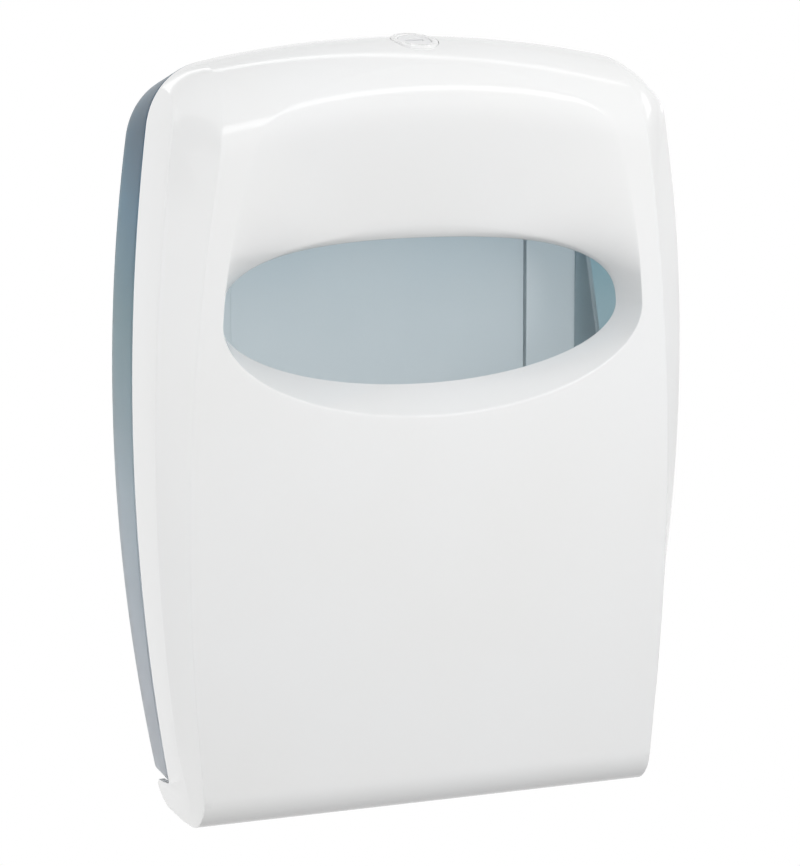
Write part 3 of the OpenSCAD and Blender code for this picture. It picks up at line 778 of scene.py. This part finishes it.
def oval_at(phi, inset):
    up = OVAL_UP + LIP_GROW * inset
    down = OVAL_DOWN + SIDE_GROW * inset
    return oval(phi, OVAL_HALF_W + SIDE_GROW * inset, up, down, OVAL_POWER)


def dish(phi, u):
    up = max(0, math.sin(phi))
    curl = RIM_CURL * min(1, RIM_CURL_RISE * up) * share(u, RIM_CURL_FROM, 1) ** 2
    return mix(LIP_DEPTH, SCOOP_DEPTH, up) * u ** (1 + SCOOP_EASE * up) + curl


def scoop_ring(u, inset):
    out = []
    for phi in RAYS:
        x, z = mix(recess_at(phi, inset), oval_at(phi, inset), u)
        out.append((x, face_y(x, z, inset) + dish(phi, u) - INNER_DISH * inset * u, z))
    return np.array(out)


def face_ring(v, inset):
    out = []
    for phi, edge in zip(RAYS, front_ring(inset)):
        x, z = mix(recess_at(phi, inset), edge[[0, 2]], v)
        out.append((x, face_y(x, z, inset), z))
    return np.array(out)


# %% Skin the cover
SCOOP_STEPS, FACE_STEPS, BEVEL_STEPS, INNER_STEPS = 22, 14, 14, 8
bevels = [(i + 1) / BEVEL_STEPS for i in range(BEVEL_STEPS - 1)]
rim_steps = [i / SCOOP_STEPS / 2 for i in range(4)] + [i / SCOOP_STEPS for i in range(2, SCOOP_STEPS)]
stations = [scoop_ring(1 - k, 0) for k in rim_steps]
recess_edge = len(stations)
stations += [face_ring(i / FACE_STEPS, 0) for i in range(FACE_STEPS)]
front_edge = len(stations)
stations += [front_ring(0)] + [bevel_ring(k, 0) for k in bevels]
side_edge_at = len(stations)
stations += [edge_ring(0), seam_ring(0), seam_ring(WALL), edge_ring(WALL)]
stations += [bevel_ring(k, WALL) for k in reversed(bevels)] + [front_ring(WALL)]
stations += [face_ring(1 - i / INNER_STEPS, WALL) for i in range(1, INNER_STEPS)]
stations += [scoop_ring(i / INNER_STEPS, WALL) for i in range(INNER_STEPS + 1)]
soft = {
    0: 1.0,
    recess_edge: 1.4,
    front_edge: 1.0,
    side_edge_at: 1.2,
    side_edge_at + 1: 0.5,
    side_edge_at + 2: 0.4,
    len(stations) - 1: 0.9,
}
cover = skin("cover_shell", [in_place(ring) for ring in soften(stations, soft)])
print("cover:", len(cover.data.vertices), "points,", len(cover.data.polygons), "faces")

# %% [markdown]
# The lock sits in the rolled top on a small flat, square to its axis, with a boss inside the wall for
# the nut to pull against. The hinge eyes stand inside the two ends of the foot. These are turned
# shapes, so they are joined to the shell and bored as a machinist would: add a disc, cut a bore.

# %% Lock seat and hinge eyes on the cover
LOCK_TILT = math.radians(14)
LOCK_AXIS = Matrix.Rotation(LOCK_TILT, 4, "X")
LOCK_POINT = Matrix.Translation(Vector((0, -roll_y(0), roll_z(0))) * MM + Vector((0, 0, FOOT)))
AT_LOCK = LOCK_POINT @ LOCK_AXIS @ Matrix.Translation((0, 0, TOP_ROLL * MM))
BEZEL_D, BEZEL_TOP, PAD_Z, BOSS_Z = 18.5, 0.1, -0.9, -5.0
NECK_D, NECK_Z, BARREL_D, BARREL_Z = 16.0, -3.2, 12.0, -13.4
PIN_D, EYE_D, HINGE_Z, SEAT_GAP = 2.5, 5.4, 8.8, 0.05
END_WALL_X = side_x(HINGE_Z) - WALL
BOSS_X, PIN_END_X = END_WALL_X - 3.0, 95.9
AT_HINGE = Matrix.Translation(Vector((0, -HINGE_Y, HINGE_Z)) * MM + Vector((0, 0, FOOT)))
ALONG_X = Matrix.Rotation(math.pi / 2, 4, "Y")


def disc(name, low, high, d, where, columns=96):
    """A round bar from low to high along its axis, in mm."""
    deselect()
    bpy.ops.mesh.primitive_cylinder_add(vertices=columns, radius=d / 2 * MM, depth=(high - low) * MM)
    bar = bpy.context.object
    bar.name = bar.data.name = name
    half_step = Matrix.Rotation(math.pi / columns, 4, "Z")
    bar.data.transform(where @ Matrix.Translation((0, 0, (high + low) / 2 * MM)) @ half_step)
    return bar


for low, high, d in ((BOSS_Z + 1, PAD_Z, BEZEL_D + 0.8), (BOSS_Z, BOSS_Z + WALL + 0.1, BEZEL_D + 5)):
    combine(cover, disc("lock_seat", low, high, d, AT_LOCK), "UNION")
for side in (-1, 1):
    low, high = sorted((side * BOSS_X, side * (END_WALL_X + WALL / 2)))
    combine(cover, disc("hinge_eye", low, high, EYE_D, AT_HINGE @ ALONG_X, 48), "UNION")
    low, high = sorted((side * (BOSS_X - 1), side * PIN_END_X))
    combine(cover, disc("pin_bore", low, high, PIN_D + 2 * SEAT_GAP, AT_HINGE @ ALONG_X, 48), "DIFFERENCE")
bores = [
    (BOSS_Z - 1, PAD_Z + 1, BARREL_D + 2 * SEAT_GAP),
    (NECK_Z, PAD_Z + 1, NECK_D + 2 * SEAT_GAP),
    (PAD_Z, PAD_Z + 2, BEZEL_D + 2 * RUNNING_GAP),
]
for low, high, d in bores:
    combine(cover, disc("lock_bore", low, high, d, AT_LOCK), "DIFFERENCE")
finish_piece(cover, white, "cover", "front_cover")

# %% [markdown]
# The tray is a shallow drafted box in the same outline. Its walls lean in towards the wall so that it
# leaves the mould, its open edge is stepped back into a thin rim that the cover closes over, and its
# floor stands a little off the wall. One ring runs through all of these steps from the back of the
# floor, round the wall and the rim, to the front of the floor, so the box is skinned in one go.

# %% Tray shell
TRAY_WALL, TRAY_FRONT, FLOOR_RELIEF, TRAY_ROUND = 2.4, 22.3, 0.4, 3.0
FOOT_DRAFT, TOP_DRAFT, DRAFT_TOP = 3.1, 6.0, 200.0
RIM_REACH, RIM_IN, RIM_BACK = 4.0, 2.9, 4.7


def tray_ring(depth, inset):
    """The tray's outline at a depth from the wall, moved inwards and leaning with the draft."""
    pull = max(0, 1 - depth / SEAM_DEPTH)
    drop, low = TOP_DRAFT * pull, TRAY_FOOT + inset
    turn_r, corner_z = max(0.6, TRAY_ROUND - inset), CORNER_Z - drop

    def wall_x(z):
        lean = pull * FOOT_DRAFT * (max(0, DRAFT_TOP - z) / (DRAFT_TOP - TRAY_FOOT)) ** 2
        return side_x(z + drop * share(z, BELLY_Z, corner_z) ** 2) - inset - lean

    half = [(s * (wall_x(low) - turn_r), low) for s in spread(0, 1, 24)]
    for angle in np.linspace(0, math.pi / 2, 9):
        z = low + turn_r * (1 - math.cos(angle))
        half.append((wall_x(z) - turn_r * (1 - math.sin(angle)), z))
    half += [(wall_x(z), z) for z in np.linspace(low + turn_r, corner_z, 48)[1:]]
    for t in np.linspace(1, 0, 29)[1:]:
        x, z = corner_point(inset, t)
        half.append((x, z - drop))
    top_x = half[-1][0]
    half += [(s * top_x, top_z(s * top_x) - inset - drop) for s in np.linspace(1, 0, 25)[1:]]
    return mirrored([(x, -depth, z) for x, z in half])


walls = [(depth, 0.0) for depth in np.linspace(0, TRAY_FRONT, 7)]
steps = [(FLOOR_RELIEF, TRAY_WALL), (0, TRAY_WALL)] + walls + [
    (TRAY_FRONT, RIM_IN),
    (TRAY_FRONT + RIM_REACH, RIM_IN),
    (TRAY_FRONT + RIM_REACH, RIM_BACK),
    (TRAY_FRONT - RIM_REACH / 2, RIM_BACK),
    (TRAY_FRONT - RIM_REACH, TRAY_WALL),
    (TRAY_WALL, TRAY_WALL),
]
soft = {1: 0.3, 2: 0.5, 8: 0.4, 9: 0.3, 10: 0.4, 11: 0.4, 12: 0.8, 13: 0.8}
rings = soften([tray_ring(depth, inset) for depth, inset in steps], soft)
tray = skin("tray_shell", [in_place(ring) for ring in rings], closed=False)
print("tray shell:", len(tray.data.polygons), "faces")

# %% [markdown]
# Inside the tray two raised strips carry the pack, and beside each stands a thin guide that is cut off
# on a slope so that a hand can reach the paper. A hooked keeper under the top takes the lock's cam.
# They are all straight mouldings, so each is a profile drawn across the tray and extruded along its
# width, with its edges broken by a small bevel before it is joined on.

# %% Strips, guides and keeper
STRIP_FOOT, STRIP_TOP, STRIP_H = 32.6, 262.0, 3.0
STRIP_X, GUIDE_X = (64.0, 86.0), (87.0, 89.0)
GUIDE_REACH, GUIDE_CHAMFER, GUIDE_SLOPE_Z, GUIDE_TOP_Z = 28.0, 6.0, 160.0, 235.0
KEEPER_W, KEEPER_T, KEEPER_Y, KEEPER_Z, KEEPER_UP = 15.0, 2.0, 23.5, 275.0, 9.5
SUNK = TRAY_WALL / 2
strip_y = TRAY_WALL + STRIP_H
hook_y = KEEPER_Y - KEEPER_T


def break_edges(piece, edge):
    step = piece.modifiers.new("broken_edges", "BEVEL")
    step.width, step.segments, step.limit_method = edge * MM, 3, "ANGLE"
    bpy.ops.object.modifier_apply(modifier=step.name)
    return piece


def slab(name, profile, low, high, edge):
    """A profile of (y, z) places, extruded across the tray from low to high, with broken edges."""
    ends = [in_place(np.array([(x, y, z) for y, z in profile])) for x in (low, high)]
    return break_edges(skin(name, ends, closed=False), edge)


strip = [(-SUNK, STRIP_FOOT), (-strip_y, STRIP_FOOT), (-strip_y, STRIP_TOP), (-SUNK, STRIP_TOP)]
guide = [
    (-SUNK, STRIP_FOOT),
    (-GUIDE_REACH, STRIP_FOOT + GUIDE_CHAMFER),
    (-GUIDE_REACH, GUIDE_SLOPE_Z),
    (-strip_y, GUIDE_TOP_Z),
    (-SUNK, GUIDE_TOP_Z),
]
hook = [
    (-SUNK, KEEPER_Z),
    (-KEEPER_Y, KEEPER_Z),
    (-KEEPER_Y, KEEPER_Z + KEEPER_UP),
    (-hook_y, KEEPER_Z + KEEPER_UP),
    (-hook_y, KEEPER_Z + KEEPER_T),
    (-SUNK, KEEPER_Z + KEEPER_T),
]
for side in (-1, 1):
    for name, profile, span, edge in (("strip", strip, STRIP_X, 0.5), ("guide", guide, GUIDE_X, 0.4)):
        low, high = sorted((side * span[0], side * span[1]))
        combine(tray, slab(name, profile, low, high, edge), "UNION")
combine(tray, slab("keeper", hook, -KEEPER_W / 2, KEEPER_W / 2, 0.3), "UNION")
print("tray with its ribs:", len(tray.data.polygons), "faces")

# %% [markdown]
# Last come the round places: four raised seats with the wall screws' holes, and the two hinge lugs
# under the foot with the pins' bores. A notch in the rim lets the lock pass as the cover swings.

# %% Screw seats, hinge lugs and lock notch
SCREW_X, SCREW_Z, SCREW_D, SEAT_D, SEAT_H = 48.0, (50.0, 250.0), 5.2, 16.0, 1.6
LUG_X, PIN_GAP = (BOSS_X - RUNNING_GAP - 6.0, BOSS_X - RUNNING_GAP), 0.05
NOTCH_HALF_W, NOTCH_Z, WEB_IN = 20.0, 280.0, 0.06
OUT_OF_WALL = Matrix.Rotation(math.pi / 2, 4, "X")

for x in (-SCREW_X, SCREW_X):
    for z in SCREW_Z:
        at_screw = Matrix.Translation(Vector((x, 0, z)) * MM + Vector((0, 0, FOOT))) @ OUT_OF_WALL
        seat = disc("screw_seat", SUNK, TRAY_WALL + SEAT_H, SEAT_D, at_screw, 64)
        combine(tray, seat, "UNION")
        combine(tray, disc("screw_hole", -1, TRAY_WALL + SEAT_H + 1, SCREW_D, at_screw, 48), "DIFFERENCE")
web_half = EYE_D / 2 - WEB_IN
web_top = TRAY_FOOT + SUNK
web = [(-HINGE_Y + dy, z) for dy, z in (
    (-web_half, HINGE_Z), (web_half, HINGE_Z), (web_half, web_top), (-web_half, web_top)
)]
for side in (-1, 1):
    low, high = sorted((side * LUG_X[0], side * LUG_X[1]))
    combine(tray, slab("lug_web", web, low + WEB_IN, high - WEB_IN, 0.1), "UNION")
    combine(tray, disc("lug", low, high, EYE_D, AT_HINGE @ ALONG_X, 64), "UNION")
    bore = disc("lug_bore", low - 1, high + 1, PIN_D + 2 * PIN_GAP, AT_HINGE @ ALONG_X, 48)
    combine(tray, bore, "DIFFERENCE")
front = TRAY_FRONT + RIM_REACH + 1
notch = [(-TRAY_FRONT, NOTCH_Z), (-front, NOTCH_Z), (-front, HEIGHT), (-TRAY_FRONT, HEIGHT)]
combine(tray, slab("lock_notch", notch, -NOTCH_HALF_W, NOTCH_HALF_W, 0.2), "DIFFERENCE")
finish_piece(tray, smoke, "tray", "back_tray")

# %% [markdown]
# The hinge pins and the round lock pieces come off a lathe, so each is a profile of radii and heights
# that is spun round its axis. Every turned edge is broken a little, as a lathe hand would leave it.

# %% Hinge pins
PIN_HEAD_X, PIN_HEAD_H, PIN_HEAD_D = LUG_X[0] - RUNNING_GAP, 1.2, 4.4


def round_ring(radius, z, columns):
    angles = np.linspace(0, 2 * math.pi, columns, endpoint=False)
    radii = radius(angles, z) if callable(radius) else radius
    return np.column_stack((radii * np.cos(angles), radii * np.sin(angles), np.full(columns, z))) * MM


def turned(name, profile, where, columns=64, closed=False):
    """Spins (radius, height) places round an axis; an open profile gets flat ends."""
    piece = skin(name, [round_ring(radius, z, columns) for radius, z in profile], closed)
    piece.data.transform(where)
    return piece


pin = [
    (PIN_HEAD_D / 2 - 0.5, PIN_HEAD_X - PIN_HEAD_H),
    (PIN_HEAD_D / 2 - 0.15, PIN_HEAD_X - PIN_HEAD_H + 0.15),
    (PIN_HEAD_D / 2, PIN_HEAD_X - PIN_HEAD_H + 0.5),
    (PIN_HEAD_D / 2, PIN_HEAD_X - 0.1),
    (PIN_HEAD_D / 2 - 0.1, PIN_HEAD_X),
    (PIN_D / 2, PIN_HEAD_X),
    (PIN_D / 2, PIN_END_X - 0.4),
    (PIN_D / 2 - 0.4, PIN_END_X),
]
for name, turn in (("hinge_pin_right", 1), ("hinge_pin_left", -1)):
    outward = Matrix.Rotation(turn * math.pi / 2, 4, "Y")
    finish_piece(turned(name + "_turned", pin, AT_HINGE @ outward), steel, "cover", name)

# %% [markdown]
# The lock's body is a ring that shows on the top, a neck that sits in the cover and a threaded barrel
# below. The thread is a true helix: at every height the crest lies at another angle, so the radius of
# each ring follows a zigzag of the angle and the height. The plug inside has a shallow face with the
# slot for a flat key, a plain shaft and a square end for the cam.

# %% Lock body and plug
PLUG_FACE_R, PLUG_FACE_Z, PLUG_HEAD_H, PLUG_R = 6.7, -0.2, 2.0, 4.0
THREAD_PITCH, THREAD_DEPTH, THREAD_STEP = 1.25, 0.5, 0.2
DRIVE, CAM_Z, CAM_T, SCREW_R, SCREW_END = 5.0, -15.7, 2.0, 1.5, -10.2
KEY_L, KEY_W, KEY_DEPTH = 7.6, 1.8, 6.0
head_z = PLUG_FACE_Z - PLUG_HEAD_H
drive_z = CAM_Z + CAM_T


def thread(angles, z):
    """Radius of the barrel's thread at some angles of one height."""
    phase = (z / THREAD_PITCH - angles / (2 * math.pi)) % 1
    return BARREL_D / 2 - THREAD_DEPTH * np.abs(2 * phase - 1)


def block(name, low, high, where, edge):
    """A box between two corners, with broken edges."""
    deselect()
    bpy.ops.mesh.primitive_cube_add(size=1)
    piece = bpy.context.object
    piece.name = piece.data.name = name
    low, high = Vector(low) * MM, Vector(high) * MM
    piece.data.transform(where @ Matrix.Translation((low + high) / 2) @ Matrix.Diagonal((*(high - low), 1)))
    return break_edges(piece, edge)


body = [
    (PLUG_FACE_R + PIN_GAP + 0.2, BEZEL_TOP),
    (BEZEL_D / 2 - 0.45, BEZEL_TOP),
    (BEZEL_D / 2 - 0.13, BEZEL_TOP - 0.13),
    (BEZEL_D / 2, BEZEL_TOP - 0.45),
    (BEZEL_D / 2, PAD_Z),
    (NECK_D / 2, PAD_Z),
    (NECK_D / 2, NECK_Z),
    (BARREL_D / 2, NECK_Z),
]
body += [(thread, z) for z in np.arange(NECK_Z - 0.6, BARREL_Z + 0.4, -THREAD_STEP)]
body += [
    (BARREL_D / 2 - 0.8, BARREL_Z),
    (PLUG_R + PIN_GAP, BARREL_Z),
    (PLUG_R + PIN_GAP, head_z),
    (PLUG_FACE_R + PIN_GAP, head_z),
    (PLUG_FACE_R + PIN_GAP, BEZEL_TOP - 0.2),
]
lock_ring = turned("lock_ring", body, AT_LOCK, 72, closed=True)
finish_piece(lock_ring, lock_white, "cover", "lock_body")

plug = turned("lock_face", [
    (PLUG_R - 0.3, drive_z),
    (PLUG_R, drive_z + 0.3),
    (PLUG_R, head_z),
    (PLUG_FACE_R, head_z),
    (PLUG_FACE_R, PLUG_FACE_Z - 0.3),
    (PLUG_FACE_R - 0.3, PLUG_FACE_Z),
], AT_LOCK)
half, slot = DRIVE / 2, (KEY_L / 2, KEY_W / 2)
combine(plug, block("drive", (-half, -half, CAM_Z), (half, half, drive_z + 1), AT_LOCK, 0.15), "UNION")
key = block("key_slot", (-slot[0], -slot[1], PLUG_FACE_Z - KEY_DEPTH), (*slot, 1), AT_LOCK, 0.2)
combine(plug, key, "DIFFERENCE")
hole = disc("screw_hole", CAM_Z - 1, SCREW_END + 0.5, 2 * (SCREW_R + SEAT_GAP), AT_LOCK, 48)
combine(plug, hole, "DIFFERENCE")
finish_piece(plug, plug_grey, "lock", "lock_plug")

# %% [markdown]
# Behind the cover a hexagon nut on a washer holds the lock, and a bent plate cam is held on the plug's
# square by a washer and a small cross-head screw. The nut's corners are turned off at both faces, which
# is done here as on a lathe: the hexagon is kept only where it lies inside a chamfered disc.

# %% Nut, washers, cam and screw
NUT_FLATS, NUT_H, WASHER_H, CAM_WASHER_H, CAM_WASHER_D = 16.0, 4.0, 1.0, 0.6, 8.7
CAM_REACH, CAM_W, CAM_NOSE, CAM_IN, HUB_D = 20.0, 9.0, 6.0, 0.03, 10.98
HEAD_D, HEAD_H, CROSS_W = 5.7, 1.8, 0.6


def washer(name, low, high, outer_d, bore_d):
    """A flat ring with broken outer edges."""
    r, bore, edge = outer_d / 2, bore_d / 2, 0.12
    profile = [(bore, low), (r - edge, low), (r, low + edge), (r, high - edge), (r - edge, high), (bore, high)]
    return turned(name, profile, AT_LOCK, 72, closed=True)


nut_top = BOSS_Z - WASHER_H
corner_r = NUT_FLATS / 2 / math.cos(math.pi / 6)
nut = turned("lock_nut_hexagon", [(corner_r, nut_top - NUT_H - 1), (corner_r, nut_top + 1)], AT_LOCK, 6)
chamfered = [
    (NUT_FLATS / 2 - 0.15, nut_top - NUT_H),
    (corner_r + 0.2, nut_top - NUT_H + 0.8),
    (corner_r + 0.2, nut_top - 0.8),
    (NUT_FLATS / 2 - 0.15, nut_top),
]
combine(nut, turned("nut_chamfer", chamfered, AT_LOCK, 72), "INTERSECT")
bore = disc("nut_bore", nut_top - NUT_H - 1, nut_top + 1, BARREL_D + 2 * SEAT_GAP, AT_LOCK, 72)
combine(nut, bore, "DIFFERENCE")
finish_piece(nut, steel, "cover", "lock_nut")
ring = washer("lock_washer_ring", nut_top, BOSS_Z, NUT_FLATS, BARREL_D + 2 * SEAT_GAP)
finish_piece(ring, steel, "cover", "lock_washer")

cam = disc("cam_plate", CAM_Z, drive_z, HUB_D, AT_LOCK, 64)
half_w = CAM_W / 2
tongue_low = (half_w, -half_w, CAM_Z + CAM_IN)
tongue = block("tongue", tongue_low, (CAM_REACH, half_w, drive_z - CAM_IN), AT_LOCK, 0.25)
combine(cam, tongue, "UNION")
nose_low = (CAM_REACH - CAM_T, CAM_IN - half_w, CAM_Z - CAM_NOSE)
nose_high = (CAM_REACH - CAM_IN, half_w - CAM_IN, drive_z - 0.3)
combine(cam, block("nose", nose_low, nose_high, AT_LOCK, 0.25), "UNION")
half = DRIVE / 2 + SEAT_GAP
square = block("square", (-half, -half, CAM_Z - 1), (half, half, drive_z + 1), AT_LOCK, 0.1)
combine(cam, square, "DIFFERENCE")
finish_piece(cam, steel, "lock", "lock_cam")

washer_z = CAM_Z - CAM_WASHER_H
ring = washer("cam_washer_ring", washer_z, CAM_Z, CAM_WASHER_D, 2 * (SCREW_R + SEAT_GAP))
finish_piece(ring, steel, "lock", "cam_washer")
screw = turned("cam_screw_turned", [
    (HEAD_D / 2 - 0.9, washer_z - HEAD_H),
    (HEAD_D / 2 - 0.3, washer_z - HEAD_H + 0.25),
    (HEAD_D / 2, washer_z - HEAD_H + 0.8),
    (HEAD_D / 2, washer_z),
    (SCREW_R, washer_z),
    (SCREW_R, SCREW_END + 0.4),
    (SCREW_R - 0.4, SCREW_END),
], AT_LOCK)
for long, wide, deep in ((SCREW_R, CROSS_W / 2, 1.0), (CROSS_W / 2, SCREW_R, 0.95)):
    low = (-long, -wide, washer_z - HEAD_H - 1)
    combine(screw, block("cross", low, (long, wide, washer_z - HEAD_H + deep), AT_LOCK, 0.05), "DIFFERENCE")
finish_piece(screw, steel, "lock", "cam_screw")

# %% [markdown]
# The studio is plain: a white room with a broad soft light above, one low at the front right that
# reaches through the opening, and one at the left. Three narrow strip lights draw the thin bright lines
# along the rolled top that glossy plastic shows. The pale floor lies well below, as the dispenser hangs
# at hand height. The camera, mirrored and passing rays see the room at full white, and the light that
# it sheds is kept lower, so that the forms keep their shading.

# %% Studio
ROOM_LIGHT = 0.55
SEEN_BY = ("Is Camera Ray", "Is Glossy Ray", "Is Transmission Ray")
world = bpy.data.worlds.new("white_room")
bpy.context.scene.world = world
world.use_nodes = True
nodes, links = world.node_tree.nodes, world.node_tree.links
path = nodes.new("ShaderNodeLightPath")
seen = path.outputs[SEEN_BY[0]]
for name in SEEN_BY[1:]:
    either = nodes.new("ShaderNodeMath")
    either.operation = "MAXIMUM"
    links.new(seen, either.inputs[0])
    links.new(path.outputs[name], either.inputs[1])
    seen = either.outputs[0]
level = nodes.new("ShaderNodeMapRange")
level.inputs["To Min"].default_value = ROOM_LIGHT
links.new(seen, level.inputs["Value"])
room = nodes["Background"]
room.inputs["Color"].default_value = (1, 1, 1, 1)
links.new(level.outputs[0], room.inputs["Strength"])


def softbox(name, place, target, wide, tall, power, mirrored_too=False):
    """A rectangular soft lamp that looks at a point; only the strips show as mirrored lines."""
    lamp = bpy.data.lights.new(name, "AREA")
    lamp.shape = "RECTANGLE"
    lamp.size, lamp.size_y = wide, tall
    lamp.energy = power
    box = bpy.data.objects.new(name, lamp)
    box.location = place
    box.rotation_euler = (Vector(target) - Vector(place)).to_track_quat("-Z", "Y").to_euler()
    box.visible_camera = False
    box.visible_glossy = mirrored_too
    bpy.context.scene.collection.objects.link(box)
    return box


def strip(name, start, end, wide, glow):
    """A narrow lamp between two points, as bright as told, that shows as a thin mirrored line."""
    along = Vector(end) - Vector(start)
    centre = (Vector(start) + Vector(end)) / 2
    facing = centre - Vector((0, 0, 0.12))
    facing -= facing.project(along)
    lamp = softbox(name, centre, (0, 0, 0), along.length, wide, glow * math.pi * wide * along.length, True)
    axes = (along.normalized(), facing.cross(along).normalized(), facing.normalized())
    lamp.rotation_euler = Matrix(axes).transposed().to_euler()
    return lamp


softbox("key_light", (0.12, -0.6, 0.2), (0, 0, 0), 0.5, 0.3, 1.75)
softbox("left_light", (-1.6, 0.5, 0.3), (0, 0, 0), 0.9, 1.4, 12)
softbox("low_light", (-1.5, -0.9, -0.45), (0, 0, 0), 0.9, 0.9, 6)
softbox("top_light", (0.1, 0.2, 1.0), (0, 0, 0.1), 1.0, 0.5, 1.0)
strip("front_window", (-0.7, -2.0, 1.12), (1.4, -2.0, 1.12), 0.38, 2.6)
strip("back_strip", (-0.445, 1.305, 0.715), (0.63, 0.16, 1.465), 0.1, 1.9)
strip("right_strip", (0.63, 0.16, 1.465), (1.045, -0.2, 1.27), 0.1, 1.9)
strip("right_window", (1.5, 0.05, 0.45), (1.5, 0.05, 0.95), 0.4, 2.0)

deselect()
FLOOR_DROP = 0.6
bpy.ops.mesh.primitive_plane_add(size=12, location=(0, 0, FOOT - FLOOR_DROP))
floor = bpy.context.object
floor.name = "studio_floor"
pale = Finish("pale_floor")
rays = pale.node("ShaderNodeLightPath", {}, {})
shown = (rays[0] + rays[3] + rays[6]).clamp()
glow = pale.node("ShaderNodeEmission", {}, {"Color": (1, 1, 1, 1), "Strength": 1.0})[0]
pale.surface(Base_Color=paint((172, 172, 172)), Roughness=0.8)
out = pale.tree.nodes["Material Output"]
mixed = pale.node("ShaderNodeMixShader", {}, {0: shown, 1: Wire(pale, pale.shader.outputs[0]), 2: glow})[0]
pale.tree.links.new(mixed.socket, out.inputs[0])
dress(floor, pale)

deselect()
CARD_PLACE, CARD_WIDE, CARD_TALL = Vector((-1.3, -0.85, 0.65)), 1.2, 0.9
bpy.ops.mesh.primitive_plane_add(size=1, location=CARD_PLACE)
card = bpy.context.object
card.name = "shade_card"
card.scale = (CARD_WIDE, CARD_TALL, 1)
card.rotation_euler = CARD_PLACE.to_track_quat("Z", "Y").to_euler()
card.visible_camera = False
felt = Finish("dark_felt")
felt.surface(
    Base_Color=felt.blend(felt.noise(4), paint((48, 48, 48)), paint((58, 58, 58))),
    Roughness=0.95,
)
dress(card, felt)

# %% Plain colour view
bpy.context.scene.view_settings.view_transform = "Standard"
